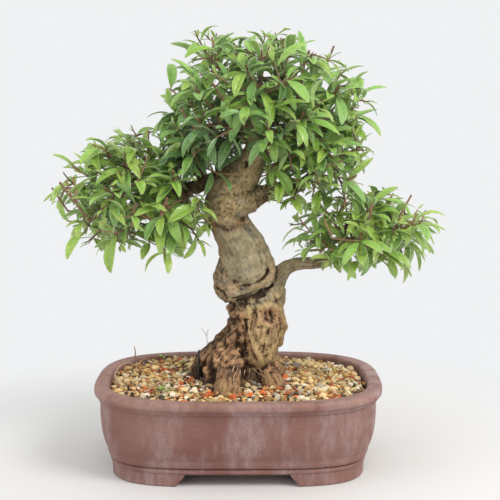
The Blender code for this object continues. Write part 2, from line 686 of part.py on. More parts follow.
def leaf_wishes(path, key):
    """Where a shoot's leaves would grow: base, heading, facing, length, width and droop of each."""
    rng = random.Random(key)
    size = 0.9 if (path[-1] - path[0]).length < SHORT_SHOOT else 1.0
    along = (path[-1] - path[-2]).normalized()
    level = along.cross(Vector((0, 0, 1))).normalized()
    other = level.cross(along)
    first_turn = rng.uniform(0, math.pi)
    sites = []
    for row, place in enumerate(LEAF_PAIR_PLACES):
        spot = path[1].lerp(path[2], 2 * place - 1) if place > 0.5 else path[0].lerp(path[1], 2 * place)
        for half in (0, 1):
            turn = first_turn + row * math.pi / 2 + half * math.pi + rng.uniform(-0.3, 0.3)
            out = level * math.cos(turn) + other * math.sin(turn)
            spread = rng.uniform(0.75, 1.15) - 0.2 * row
            way = along * math.cos(spread) + out * math.sin(spread)
            way.z -= 0.12
            sites.append((spot + out * 0.3, way.normalized()))
    wishes = []
    for base, way in sites:
        length = rng.uniform(*LEAF_LENGTH) * size
        width = length * LEAF_SLENDERNESS * rng.uniform(0.88, 1.12)
        up = Vector((rng.uniform(-0.35, 0.35), rng.uniform(-0.35, 0.35) - 0.15, 1)) + along * 0.6
        wishes.append((base, way, up.normalized(), length, width, rng.uniform(*LEAF_DROOP)))
    return wishes


# Clearance between what grows


class Clearance:
    """Remembers closed shapes and tells whether a new one would cross them."""

    def __init__(self):
        self.shapes = []

    def add(self, verts, faces, owner):
        low = Vector([min(v[k] for v in verts) for k in range(3)])
        high = Vector([max(v[k] for v in verts) for k in range(3)])
        self.shapes.append((BVHTree.FromPolygons(verts, faces), low, high, owner))

    def crossed(self, verts, faces, friends=()):
        low = [min(v[k] for v in verts) for k in range(3)]
        high = [max(v[k] for v in verts) for k in range(3)]
        tree = None
        for other, other_low, other_high, owner in self.shapes:
            if owner in friends:
                continue
            if any(low[k] > other_high[k] or high[k] < other_low[k] for k in range(3)):
                continue
            tree = tree or BVHTree.FromPolygons(verts, faces)
            if tree.overlap(other):
                return True
        return False


def mesh_lists(obj):
    return [v.co / MM for v in obj.data.vertices], [tuple(f.vertices) for f in obj.data.polygons]


def fat_tube(path, radius):
    """A plain square tube for clearance tests."""
    verts, faces = [], []
    for k, spot in enumerate(path):
        way = (path[min(k + 1, len(path) - 1)] - path[max(k - 1, 0)]).normalized()
        side = way.cross(Vector((0.31, 0.17, 0.93))).normalized() * radius
        other = way.cross(side).normalized() * radius
        verts += [spot + side, spot + other, spot - side, spot - other]
        if k:
            a = 4 * (k - 1)
            faces += [(a + j, a + (j + 1) % 4, a + 4 + (j + 1) % 4, a + 4 + j) for j in range(4)]
    return verts, faces


def grow(plans, trunk):
    """Settles every spray's shoots and leaves so that no two sprays cross, nor a spray and the trunk."""
    room = Clearance()
    room.add(*mesh_lists(trunk), "trunk")
    for name, plan in plans.items():
        room.add(*fat_tube(plan["twig"], STUB_RADIUS + WOOD_CLEARANCE), name)
    for name, plan in plans.items():
        plan["shoots"] = []
        for k, tip in enumerate(plan["tips"]):
            place_shoot(room, plan, name, k, tip)
    for plan in plans.values():
        plan["leaves"] = []
    longest = max(len(plan["shoots"]) for plan in plans.values())
    for k in range(longest):
        for plan in plans.values():
            if k < len(plan["shoots"]):
                place_leaves(room, plan, *plan["shoots"][k])


def place_shoot(room, plan, name, number, tip):
    """Tries a few forks and bows, and keeps the first shoot that crosses no other spray."""
    family = [name, *(key for _, key in plan["shoots"])]
    key = f"{name} shoot {number}"
    for step in range(3):
        fork = 0.1 + 0.85 * ((number * 0.618 + step * 0.37) % 1)
        for bow in SHOOT_BOWS:
            path = shoot_path(plan["twig"], tip, fork, Vector(bow))
            if not room.crossed(*fat_tube(path, SHOOT_RADIUS + WOOD_CLEARANCE), friends=family):
                room.add(*fat_tube(path, SHOOT_RADIUS), key)
                plan["shoots"].append((path, key))
                return


def place_leaves(room, plan, path, key):
    """Turns each leaf about its shoot until it is clear of all that grew before, or leaves it out."""
    axis = (path[-1] - path[-2]).normalized()
    for number, (base, way, up, length, width, droop) in enumerate(leaf_wishes(path, key)):
        for turn in (0, 0.35, -0.35, 0.7, -0.7):
            aimed = way.copy()
            aimed.rotate(Quaternion(axis, turn))
            shape = leaf_shape(base, aimed, up, length, width, droop, spare=LEAF_CLEARANCE)
            if not room.crossed(*shape, friends=(key,)):
                kept = leaf_shape(base, aimed, up, length, width, droop)
                room.add(*kept, f"{key} leaf {number}")
                plan["leaves"].append(kept)
                break


def make_spray(name, plan):
    """One spray: its twig, shoots and leaves fused into a single piece."""
    twig_radii = [STUB_RADIUS * MM, 0.85 * STUB_RADIUS * MM, TWIG_TIP_RADIUS * MM]
    twig = tube(f"spray_{name}", [p * MM for p in plan["twig"]], twig_radii, 1)
    parts = []
    for path, key in plan["shoots"]:
        radii = [SHOOT_RADIUS * MM, 0.9 * SHOOT_RADIUS * MM, SHOOT_TIP_RADIUS * MM]
        parts.append(tube(key, [p * MM for p in path], radii, 0))
    verts, faces = [], []
    for leaf_verts, leaf_faces in plan["leaves"]:
        first = len(verts)
        verts += [v * MM for v in leaf_verts]
        faces += [tuple(first + v for v in face) for face in leaf_faces]
    leaves = object_of("leaves", verts, faces)
    edit(leaves, lambda bm: bmesh.ops.recalc_face_normals(bm, faces=bm.faces))
    parts.append(leaves)
    spray = boolean(twig, "UNION", parts)
    edit(spray, keep_largest_body)
    return spray


# The whole tree


def copy_of(obj, name):
    twin = bpy.data.objects.new(name, obj.data.copy())
    bpy.context.scene.collection.objects.link(twin)
    return twin


def cut_soil(soil, trunk, wire_route):
    """Leaves room in the soil for the roots, the tie wire and the screens."""
    fat_trunk = copy_of(trunk, "fat_trunk")
    swell = fat_trunk.modifiers.new("swell", "DISPLACE")
    swell.strength = 2 * GAP
    swell.mid_level = 0
    bake(fat_trunk)
    sleeve = tube("wire_sleeve", wire_route, [WIRE_RADIUS * MM + WIRE_SLEEVE_GAP] * len(wire_route), 2)
    recesses = [screen_recess(x) for x in (-DRAIN_HOLE_X, DRAIN_HOLE_X)]
    boolean(soil, "DIFFERENCE", [fat_trunk, copy_of(trunk, "same_trunk"), sleeve, *recesses])
    edit(soil, keep_largest_body)


def main():
    clear_scene()
    tree = new_collection("nejikan_pomegranate_bonsai")
    root = bpy.data.objects.new("bonsai", None)
    tree.objects.link(root)

    plans = plan_sprays()
    limb_radii = [LIMB_RADIUS * MM, 0.85 * LIMB_RADIUS * MM, STUB_RADIUS * MM]
    limbs = [tube(f"limb_{name}", [p * MM for p in plan["limb"]], limb_radii, 1)
             for name, plan in plans.items()]
    trunk = make_trunk(limbs)
    grow(plans, trunk)
    route = wire_path(trunk)
    soil = make_soil()
    cut_soil(soil, trunk, route)

    pieces = [
        finish(make_pot(), tree, root, "clay"),
        finish(soil, tree, root, "gravel"),
        finish(trunk, tree, root, "bark"),
        finish(tube("tie_wire", route, [WIRE_RADIUS * MM] * len(route), 1), tree, root, "wire"),
        finish(make_screen("drain_screen_left", -DRAIN_HOLE_X), tree, root, "screen"),
        finish(make_screen("drain_screen_right", DRAIN_HOLE_X), tree, root, "screen"),
    ]
    pieces += [finish(make_spray(name, plan), tree, root, "leaf") for name, plan in plans.items()]

    corners = [v.co for piece in pieces for v in piece.data.vertices]
    low = [min(c[k] for c in corners) for k in range(3)]
    high = [max(c[k] for c in corners) for k in range(3)]
    root.location = (-(low[0] + high[0]) / 2, -(low[1] + high[1]) / 2, -low[2])


main()
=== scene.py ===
"""Looks of the nejikan pomegranate bonsai: fine bark, leaves, gravel and clay round the fixed solids.

The tables are in millimetres about the pot's centre line, as in the part's source; SHIFT carries them into
the frame. Every draw is seeded, so the tree comes out the same each time.
"""

import math
import random

import bmesh
import bpy
import numpy as np
from mathutils import Euler, Matrix, Vector, noise
from mathutils.bvhtree import BVHTree
from mathutils.kdtree import KDTree


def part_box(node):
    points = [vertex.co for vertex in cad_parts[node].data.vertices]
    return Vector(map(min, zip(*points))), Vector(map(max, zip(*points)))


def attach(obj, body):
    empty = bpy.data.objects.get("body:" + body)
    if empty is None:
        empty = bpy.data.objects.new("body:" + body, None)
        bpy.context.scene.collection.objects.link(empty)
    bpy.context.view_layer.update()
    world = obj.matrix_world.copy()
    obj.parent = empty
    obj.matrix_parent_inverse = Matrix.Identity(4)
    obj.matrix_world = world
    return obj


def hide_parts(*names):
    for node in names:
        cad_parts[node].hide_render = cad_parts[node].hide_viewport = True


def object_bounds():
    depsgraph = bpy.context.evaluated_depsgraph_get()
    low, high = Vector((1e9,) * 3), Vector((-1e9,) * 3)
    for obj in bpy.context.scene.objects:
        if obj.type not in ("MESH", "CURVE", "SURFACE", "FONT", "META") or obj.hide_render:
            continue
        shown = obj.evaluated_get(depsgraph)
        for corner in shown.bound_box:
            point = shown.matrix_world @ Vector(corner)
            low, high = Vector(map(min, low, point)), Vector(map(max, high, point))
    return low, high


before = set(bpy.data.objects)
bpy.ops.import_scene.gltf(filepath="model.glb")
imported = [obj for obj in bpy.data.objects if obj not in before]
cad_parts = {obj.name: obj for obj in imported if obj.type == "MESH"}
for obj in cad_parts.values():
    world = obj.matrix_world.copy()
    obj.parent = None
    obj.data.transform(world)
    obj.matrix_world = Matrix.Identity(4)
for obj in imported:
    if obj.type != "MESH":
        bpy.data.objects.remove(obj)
CAD_LOW, CAD_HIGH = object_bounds()

MM = 0.001
POT_LOW, POT_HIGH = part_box("pot")
SHIFT = Vector(((POT_LOW.x + POT_HIGH.x) / 2, (POT_LOW.y + POT_HIGH.y) / 2, 0))
BOX_LOW = (CAD_LOW - SHIFT) / MM
BOX_HIGH = (CAD_HIGH - SHIFT) / MM
SEED = 41

# Camera: the photograph's own view, fitted to the pot's rim and feet
CAMERA_PLACE = (11.0, -1000.0, 328.6)
CAMERA_PITCH = 7.23
CAMERA_LENS = 76.28
SENSOR_WIDTH = 36

# Studio, in metres: soft daylight, two lamps (name, place, size, power, colour) and a floor that fades out
DAYLIGHT = (0.83, 0.84, 0.85, 1)
DAYLIGHT_STRENGTH = 1.05
LAMPS = [("key", (1.05, -0.85, 1.25), 0.75, 19, (1, 0.98, 0.95)),
         ("fill", (-1.1, -0.6, 0.7), 0.9, 4, (0.95, 0.98, 1))]
LAMPS_AIM = Vector((0, 0, 0.2))
FLOOR_RADIUS = 2.2
FLOOR_DROP = 0.0004
FLOOR_FADES = (0.2, 0.5)

# Pot: outlines are rounded rectangles, given by how far they lie inside the rim's outline
RIM_HALF_LENGTH = 136
RIM_HALF_DEPTH = 107
RIM_SQUARENESS = 3.1
FOOT_SQUARENESS = 3.9
RIM_TOP = 80
FOOT_BAND_TOP = 16
POT_SIDES = 168
# Profile rows are inset, height and the radius that eases the corner
POT_PROFILE = [
    (34, 15, 3), (22, 21, 8), (16.5, 38, 16), (14.6, 60, 10), (13.5, 77.5, 1.6), (12.4, 80, 1.6),
    (1.6, 80, 2), (0, 78.2, 2), (0, 73.2, 2), (2.8, 71, 1), (3.3, 69, 0.5), (5.4, 68, 1), (6, 50, 14),
    (7.8, 37, 10), (10.4, 28.6, 4), (12.6, 24.4, 1.6), (12.9, 20.5, 1.6), (14.1, 17.6, 1),
    (17.4, 16.8, 0.6), (15.6, 15.8, 0.8), (15.1, 14, 1.2), (15.6, 12.4, 0.8), (16.8, 11.8, 0.5),
    (17.1, 0, 1.2), (26.5, 0, 0.8), (27.5, 9, 0.6),
]
CUTOUT_TOP = 11.2
CUTOUT_HALF_FRONT = 47
CUTOUT_HALF_SIDE = 36
CUTOUT_SLOPE = 8
CUTOUT_FROM, CUTOUT_TO = 10, 29
DRAIN_HOLE_RADIUS = 9
DRAIN_HOLE_X = 58
WORN_EDGE = 0.7

# Soil: its bed, which is a lofted skin (inset, height) closed by rings at more insets, and its gravel
SOIL_EDGE = 72.5
SOIL_EDGE_INSET = 13.9
SOIL_MOUND = 4.5
BED_DEPTH = 2.6
BED_SIDES = 120
BED_WALL = [(35, 15.4), (22.6, 21.2), (17, 38), (15.1, 60)]
BED_RINGS = [14.5, 17, 20, 23.5, 27, 31, 35, 40, 45, 50, 56, 62, 68, 74, 80, 86, 92, 98]
# A grain that lies inside the wood, no deeper than this, is left out
WOOD_NEAR = 12
GRAIN_COLOURS = {
    "cream": (0.88, 0.67, 0.34, 1), "straw": (0.74, 0.49, 0.18, 1), "pale": (0.9, 0.8, 0.6, 1),
    "ochre": (0.56, 0.32, 0.11, 1), "red": (0.78, 0.15, 0.03, 1), "brick": (0.45, 0.1, 0.035, 1),
    "slate": (0.09, 0.085, 0.085, 1), "black": (0.03, 0.025, 0.022, 1), "grey": (0.25, 0.24, 0.23, 1),
}
BIG_GRAINS = {"cream": 40, "straw": 24, "pale": 18, "ochre": 12, "red": 3, "grey": 2, "slate": 1}
SMALL_GRAINS = {"red": 24, "brick": 16, "slate": 12, "black": 16, "straw": 18, "cream": 14}
GRAIN_TINT = (0.54, 1.22)
# Where crushed red and dark bits lie thick, as (x, y)
RED_PATCHES = [
    (-75, 37), (-50, -12), (-84, -38), (-26, -55), (3, -60), (46, -38), (36, -40), (84, -55), (114, 8),
    (24, -44), (-12, -74),
]
DARK_PATCHES = [
    (-38, -2), (-46, 8), (-32, -20), (-52, -6), (-30, -34), (50, -28), (60, -46), (18, -30), (6, -34),
    (-62, 40), (-92, 60), (-104, -22), (-70, -66),
]
PATCH_REACH = 9

# Fine roots on the gravel, and a dry forked shoot on the left root (x, y, z), with their radius
ROOTLETS = [
    ([(-30, 7, 99), (-30.5, 7, 108), (-31, 6, 117), (-36, 6, 125)], 0.36),
    ([(-31, 6, 117), (-30, 6, 121), (-29.5, 6, 124)], 0.3),
    ([(-113, -22, 76.5), (-119, -4, 80), (-117, 18, 84), (-110, 30, 85), (-102, 32, 81)], 0.9),
    ([(-84, -52, 77), (-77, -41, 81), (-69, -28, 81.5), (-60, -14, 80)], 1.1),
    ([(-104, 40, 79), (-96, 50, 84), (-86, 56, 80)], 0.7),
    ([(-108, 72, 80), (-107.5, 73, 86), (-108.5, 73, 92)], 0.8),
    ([(-66, 60, 79), (-58, 66, 84), (-50, 66, 79)], 0.6),
    ([(30, -62, 78), (42, -58, 80), (52, -60, 77.5)], 0.6),
]
# Torn fibres of bark over the front root: how many, between which x, and the heights where they start
FIBRES = 34
FIBRES_ACROSS = (-8, 20)
FIBRES_TOP = (84, 93)
# Tiny green plants (x, y, how many leaves, leaf length)
WEEDS = [
    (-72, -46, 7, 6), (-66, -49, 4, 5), (-79, 84, 6, 6), (-73, 87, 3, 5), (97, 33, 5, 3.5), (104, 68, 4, 4),
]

# Trunk: strands of wood (x, y, z, radius) that wind round each other and melt together
TRUNK_STRANDS = {
    "core_low": [(12, 4, 50, 25), (13, 4, 80, 27), (14, 3, 105, 24), (18, 2, 128, 22), (16, 2, 145, 22),
        (10, 4, 160, 22), (7, 5, 176, 19), (6, 3, 190, 17)],
    "smooth_column": [(11, -5, 168, 16), (11, -5, 178, 17.5), (7, -4, 193, 18.2), (0, -2, 208, 17.8),
        (-8, 0, 221, 17), (-12, 2, 236, 18.5), (-11, 2, 250, 20), (-2, 1, 265, 19), (9, 0, 279, 14.5),
        (16, -2, 292, 12.5), (20, -4, 306, 11)],
    "left_bulge": [(-1, 12, 200, 8), (-8, 8, 190, 10), (-11.5, 2, 179, 12), (-12, -4, 168, 11.5),
        (-6, -12, 160, 9)],
    "lip": [(-11, -12, 161, 7.5), (-3, -20, 159.5, 5.5), (8, -22, 163, 4.6), (20, -20, 169, 4.6),
        (29, -13, 177, 5), (30, -6, 188, 5.2), (26, -3, 200, 5), (19, -3, 213, 4.6), (10, -3, 226, 4.4),
        (3, -3, 238, 4)],
    "under_lip": [(-3, -6, 151, 12.5), (7, -6, 150, 16.5), (20, -4, 153, 17), (30, -1, 160, 12)],
    "front_right": [(20, -10, 160, 12), (24, -11, 143, 13.5), (24, -13, 122, 14), (22, -12, 102, 14),
        (25, -8, 82, 13), (28, -8, 58, 12)],
    "right_knots": [(38, 2, 166, 8), (36, 0, 157, 9), (34, -3, 146, 10), (36, -1, 132, 9.5),
        (36, 1, 120, 9), (32, 2, 108, 7)],
    "left_shadow": [(-5, -4, 152, 8), (3, -6, 138, 11), (0, -6, 124, 12.5), (-3, -8, 108, 13)],
    "back_strand": [(18, 20, 55, 15), (24, 17, 95, 14), (18, 18, 125, 14), (4, 19, 150, 13),
        (-4, 14, 172, 12), (-2, 12, 190, 9)],
    "back_upper": [(24, 8, 165, 12), (22, 10, 185, 11), (10, 15, 205, 11), (-4, 16, 222, 11),
        (-14, 14, 240, 10), (-8, 14, 258, 9)],
    "crotch": [(-24, -2, 244, 10), (-14, -8, 246, 13), (0, -8, 247, 13), (14, -3, 249, 10.5)],
}
ROOT_STRANDS = {
    "left_root": [(4, 2, 124, 12), (-6, 4, 114, 12.5), (-18, 5, 102, 13), (-30, 7, 91, 12.5),
        (-36, 8, 80, 11.5), (-41, 9, 66, 10), (-46, 10, 52, 8)],
    "left_knees": [(-4, -8, 110, 12), (-15, -10, 97, 12.5), (-23, -12, 84, 12), (-27, -15, 68, 11),
        (-31, -19, 52, 8)],
    "front_root": [(0, -14, 102, 11), (-6, -22, 90, 12.5), (-9, -32, 82, 12.5), (-10, -44, 73, 12.5),
        (-11, -57, 62, 12), (-12, -65, 50, 8)],
    "right_root": [(24, -10, 98, 11), (29, -17, 84, 11.5), (33, -22, 74, 11), (38, -27, 62, 9),
        (42, -31, 50, 6)],
    "right_back_root": [(26, 10, 96, 11), (34, 20, 80, 9.5), (42, 30, 66, 8), (48, 38, 52, 6)],
    "back_root": [(10, 20, 98, 12), (14, 34, 82, 11), (20, 46, 68, 10), (24, 54, 52, 7)],
    "back_left_root": [(-6, 14, 102, 12), (-14, 28, 84, 11), (-20, 39, 70, 9), (-24, 48, 54, 7)],
}
BRANCH_STRANDS = {
    "low_right_branch": [(29, -5, 154, 8), (35, -6, 167, 8.4), (39, -6, 178, 7.8), (45, -6, 185.5, 7),
        (54, -6, 189, 6.5), (69, -6, 190, 6.3), (82, -5, 192, 6), (94, -4, 199, 5.4), (108, -3, 208, 5)],
    "mid_right_branch": [(0, 2, 243, 12), (16, 2, 252, 10), (30, 3, 257, 8), (46, 4, 260, 7),
        (62, 4, 264, 6.2)],
    "left_branch": [(6, 6, 272, 10), (-8, 14, 272, 8.5), (-24, 18, 267, 7.6), (-44, 16, 260, 7),
        (-62, 10, 256, 6.2), (-80, 4, 252, 5.4)],
    "leader": [(16, -2, 292, 12), (20, -4, 306, 10.5), (22, -3, 320, 9), (22, 0, 334, 7),
        (22, 2, 346, 5.6)],
}
STRANDS = {**TRUNK_STRANDS, **ROOT_STRANDS, **BRANCH_STRANDS}
# Dents (x, y, z, radius, depth): under the lip, knot holes, the fold under the crotch, root hollows
DENTS = [
    (-6, -24, 151, 6, 4), (4, -25, 153, 6, 5.5), (14, -25, 156, 6, 5.5), (24, -22, 161, 5.5, 4.5),
    (33, -18, 143, 5, 4.5), (24, -26, 147, 4, 1.5), (-14, -19, 222, 5, 2.6), (-6, -20, 227, 5, 3),
    (2, -18, 231, 4.5, 2.6), (3, -22, 116, 8, 4), (7, -26, 104, 7, 3.5), (-33, -8, 82, 9, 5),
    (-30, -10, 72, 7, 4), (10, -27, 86, 8, 4.5),
]
# What else the bark shows from the front, as lines of (x, z): how wide, how high, and how dark, rusty or pale
BARK_LINES = {
    "lip": (2.2, 1.7, (0.04, 0.45, 0), [(-9.6, 161), (-3, 163), (2.3, 164.5), (13, 166.8), (22, 169.6),
        (29, 174.7), (32.4, 180.8), (33, 184)]),
    "rim of the column": (2.2, 1.4, (0, 0.2, 0.1), [(33, 184), (31, 190), (28, 196), (25, 202), (21.5, 210),
        (17, 218), (11.5, 225)]),
    "groove over the lip": (1.3, -1.2, (0.2, 0.8, 0), [(-1, 168), (6, 169.8), (14, 171), (20, 173.4),
        (24, 177), (27, 182), (27.5, 186)]),
    "filled corner of the lip": (3.4, 2.2, (0, 0, 0), [(14, 169.5), (20, 172), (25, 177), (27.5, 184),
        (26, 192)]),
    "hollow in the lip": (2.1, -2.4, (0.75, 0.9, 0), [(23.5, 175.5), (26.5, 179.5), (27.5, 183.5)]),
    # Painted shadow under the lip: the crevice, the shade below it and the shade on the waist are darkened
    # where the lip shades the wood.
    "crevice under the lip": (2.0, -2.6, (0.9, 0, 0), [(-6, 156.5), (-1, 158.3), (3.6, 159.8), (13, 161.8),
        (22, 164.2), (28, 167.2), (31, 170)]),
    "shade under the lip": (3.2, -0.6, (0.8, 0.1, 0), [(0, 155.5), (8, 157.5), (16, 159.2), (24, 162)]),
    "shade on the waist": (4, 0, (0.3, 0.1, 0), [(0, 151), (8, 152.5), (16, 154)]),
    "filled hollow under the lip": (3.2, 2.4, (-0.2, 0, 0), [(22, 156), (27, 160), (31, 164)]),
    # Painted shade where the bulge shades the wood: its fold, its underside and the waist below are darkened,
    # with some rust of their own.
    "fold of the bulge": (1.6, -1.6, (0.5, 0.4, 0), [(-21, 167), (-14, 163.3), (-11.5, 157)]),
    "underside of the bulge": (5, 0, (0.35, 0.5, 0), [(-15, 158), (-10, 151), (-6, 146)]),
    "dark waist": (6, 0, (0.32, 0.3, -0.3), [(-5, 149), (-1, 144), (0, 139)]),
    "light upper wood": (12, 0, (-0.05, 0.12, 0.4), [(-10, 246), (-2, 258), (6, 270), (12, 282)]),
    "filled seam of the bulge": (6, 4, (-0.4, 0, 0), [(-15, 201), (-12, 194), (-9, 187), (-7, 180),
        (-5, 173), (-4, 168)]),
    "hole in the leader": (2.4, -1.5, (0.8, 0.5, 0), [(7.6, 285), (8, 282)]),
    "shaded right side": (7, 0, (0.3, 0.3, 0), [(20, 246), (27, 254), (36, 258)]),
    "rusty left edge of the column": (6, 0, (0.1, 0.5, 0), [(-24, 226), (-20, 212), (-14, 200)]),
    "lichen on the column": (6, 0, (0, 0, -0.2), [(14, 212), (19, 202), (23, 195)]),
    "filled seam of the lip": (3.6, 1.7, (0, 0, 0), [(24.5, 194), (21.5, 203), (17.5, 211), (13.5, 219)]),
    "fold by the crotch": (3.4, -1.0, (0.06, 0.7, 0), [(-22, 227), (-16, 224), (-10, 222), (-4, 223.5),
        (0.5, 228), (3.5, 232)]),
    "collar over the fold": (4, 1.6, (0, 0, 0.1), [(-22, 233), (-16, 230), (-10, 228.5), (-4, 230),
        (1, 234), (5, 238)]),
    "long pale ridge": (2.8, 2, (0, 0, 1), [(9.5, 147), (12, 136), (11, 126.5), (15, 114), (19, 102),
        (22.5, 94)]),
    "second pale ridge": (2.2, 1.5, (0, 0, 0.9), [(18.5, 149), (19.5, 137.5), (18, 126.5), (21, 116),
        (25, 105)]),
    "third pale ridge": (2, 1.3, (0, 0, 0.8), [(26, 132), (24.5, 120.5), (27, 109.5), (30.5, 99)]),
    "right flank": (3, 1.2, (0, 0, 0.6), [(42.5, 142), (43.5, 134), (42, 126.5), (38, 119), (33, 111),
        (30.5, 100)]),
    "brow": (2.4, 1.7, (0, 0, 0.9), [(21, 149), (27, 152), (34, 150.5), (39.5, 146.5)]),
    "upper brow": (2.8, 1.4, (0, 0, 0.6), [(31, 157), (39, 161), (41, 166)]),
    "ring of the knot": (2.1, 1.2, (0, 0, 0.5), [(21.5, 140.5), (24, 146), (30, 149), (36.5, 146.5),
        (38, 140.5), (36.5, 134), (30, 131), (23, 133.5), (21.5, 140.5)]),
    "filled slot": (6, 3.4, (-0.25, 0.2, 0), [(4, 134), (8, 126), (10, 116), (14, 106)]),
    "sill over the slot": (4, 2, (0, 0.3, 0), [(-4, 142), (4, 140.5), (11, 139)]),
    # Painted shadow in the hollow between the left root and the front root.
    "black hollow of the left root": (5, -1.8, (0.85, 0, 0), [(-27, 97), (-25, 88), (-23, 79)]),
    # The torn edge's darkness is painted shadow of the fibres that hang over the front root.
    "torn edge and its shadow over the front root": (3, -1.4, (0.6, 0.3, 0), [(-9, 91), (-2, 89), (5, 88), (12, 90)]),
    "face of the knot": (7, -1.2, (0.15, 1, 0), [(27, 141), (36, 141)]),
    # Painted shade on the foot of the left root.
    "dark foot of the left root": (9, 0, (0.6, 0, 0), [(-40, 84), (-36, 76), (-30, 74)]),
    "strand in the slot": (2.2, 2, (0, 0.6, 0.1), [(-4, 143), (0, 132), (3, 122), (3, 112)]),
    "thin strand in the slot": (1.8, 1.6, (0, 0.6, 0.1), [(3, 141), (6, 131), (8, 121), (12, 110)]),
    "right hollow of the knot": (4, -2.6, (0.5, 1, 0), [(33, 143), (35, 139), (34, 135.5)]),
    "left hollow of the knot": (2.8, -1.2, (0.15, 1, 0), [(25.5, 142), (26.5, 138)]),
    "groove left of the ridge": (2.2, -1.5, (0.3, 0.8, 0), [(7, 137.5), (8, 126.5), (9.5, 117), (14, 108),
        (17, 99)]),
    "dark flank": (4.5, -0.5, (0.1, 0.7, 0), [(-5, 150), (-2, 137.5), (0, 126.5), (2, 118), (5, 109)]),
}
# Knobs and pits of the lower wood as seen from the front (x, z), and their width, height and tones
KNOBS = [
    (-3.5, 120), (-9, 115), (4, 118), (-14, 106.5), (-0.5, 105), (8.5, 101), (-11, 99), (-6, 95.5),
    (2.5, 97), (-26, 106), (-33, 100), (-32, 89.5), (-20, 91), (-3.5, 128), (-17, 113), (-22, 98),
    (35, 160), (13, 155),
]
KNOB_LOOK = (3.8, 2.4, (-0.2, 0.1, 0.6))
PITS = [(18.5, 129.5), (28, 124), (-26, 98.5), (-29, 93), (-23, 87), (-2, 111)]
PIT_LOOK = (2.2, -1.4, (0.35, 0.9, 0))
# The depth at which those x and z are measured, before they are carried along the view onto the bark
FEATURE_DEPTH = -12
# Above the fold the grain runs up towards the leader, whatever strand lies below
UPPER_WOOD_FROM = 227
UPPER_WOOD = ("crotch", "smooth_column", "back_upper", "back_strand", "lip")
UPPER_GRAIN = Vector((0.48, 0.0, 0.877))
SIDE_BRANCHES = ("mid_right_branch", "left_branch")
BRANCHES_BEGIN = (-22, 26)
# The coarse bumps and the lower wood's knobbles, by the same rule as the solids'
BUMP_SIZE = 11
BUMP_HEIGHT = 1.0
KNOBBLE_HEIGHT = 2.4
SMOOTH_WOOD_FROM = 165
BARK_VOXEL = 1.1
TRUNK_FOOT = 66
# How far the grain's ridges stand out, and the strands on which that differs
GRAIN_RIDGE = 0.5
STRAND_RIDGE = {
    "front_root": 0.55, "right_root": 0.6, "left_knees": 0.9, "front_right": 0.6, "smooth_column": 0.34,
    "lip": 0.3, "leader": 0.4, "left_branch": 0.4, "mid_right_branch": 0.4, "low_right_branch": 0.5,
    "crotch": 0.6,
}

# Foliage pads: rounded blocks (centre, radii) whose skin the shoots reach, and the sprays that fill each
PADS = {
    "crown": {"centre": (22, 0, 331), "radii": (103, 84, 70), "shoots": 28, "lowest": -0.62, "extra": 180,
              "inner": 66},
    "shoulder": {"centre": (80, -6, 289), "radii": (47, 50, 42), "shoots": 7, "lowest": -1.0, "extra": 46,
                 "inner": 16, "brightness": 0.2},
    "left": {"centre": (-97, -4, 251), "radii": (82, 60, 54), "shoots": 15, "lowest": -0.75, "extra": 120,
             "inner": 36, "brightness": 0.26},
    "left_upper": {"centre": (-40, -4, 280), "radii": (40, 42, 34), "shoots": 6, "lowest": -0.4, "extra": 34,
                   "inner": 12},
    "right": {"centre": (122, -4, 220), "radii": (69, 52, 42), "shoots": 12, "lowest": -0.75, "extra": 84,
              "inner": 26, "brightness": 0.36},
}
# Each spray: pad, the woody point that its limb leaves, and the way it faces from the pad's centre
SPRAYS = {
    "crown_top": ("crown", (22, 2, 344), (0.05, 0.1, 1)),
    "crown_top_left": ("crown", (22, 1, 338), (-0.8, 0.0, 0.6)),
    "crown_top_right": ("crown", (22, 1, 340), (0.62, -0.1, 0.75)),
    "crown_front": ("crown", (22, -2, 328), (-0.1, -0.9, 0.5)),
    "crown_back": ("crown", (22, 1, 330), (0.1, 0.9, 0.5)),
    "crown_left_front": ("crown", (21, -4, 318), (-0.8, -0.65, -0.1)),
    "crown_left_back": ("crown", (21, -2, 322), (-0.8, 0.65, -0.1)),
    "crown_right": ("crown", (22, 0, 334), (1, 0.05, 0.25)),
    "crown_right_front": ("crown", (21, -4, 316), (0.66, -0.8, -0.05)),
    "crown_right_back": ("crown", (21, -3, 320), (0.6, 0.85, -0.1)),
    "shoulder_right": ("shoulder", (60, 4, 263.5), (0.9, 0.3, 0.35)),
    "shoulder_front": ("shoulder", (48, 4, 260.5), (0.0, -1, 0.0)),
    "left_tip": ("left", (-78, 4, 252.5), (-1, -0.1, 0.0)),
    "left_front": ("left", (-60, 10, 256.5), (-0.15, -1, -0.1)),
    "left_back": ("left", (-52, 14, 258), (-0.2, 1, 0.1)),
    "left_top": ("left", (-66, 8, 255.5), (-0.15, 0.0, 1)),
    "left_inner": ("left", (-40, 16, 261), (0.85, -0.5, 0.0)),
    "left_upper_front": ("left_upper", (-28, 17.5, 265.5), (0.1, -1, 0.2)),
    "left_upper_back": ("left_upper", (-34, 17, 263.5), (-0.1, 1, 0.2)),
    "right_tip": ("right", (106, -3, 207), (1, 0.0, 0.05)),
    "right_front": ("right", (90, -4, 196.5), (-0.05, -1, 0.0)),
    "right_back": ("right", (96, -4, 200), (0.05, 1, 0.05)),
    "right_top": ("right", (100, -4, 202.5), (-0.25, 0.0, 1)),
}
PAD_SQUARENESS = 2.5
LIMB_SHARE = 0.42
LIMB_BOW = 0.08
LIMB_RADIUS = 3.6
STUB_RADIUS = 2.5
TWIG_TIP_RADIUS = 1.5
TWIG_SHARE = 0.62
SHOOT_REACH = 0.8
SHOOT_BOW = 0.14
SHOOT_RADIUS = 0.95
SHOOT_TIP_RADIUS = 0.4
BARE_TIP_RADIUS = 0.62
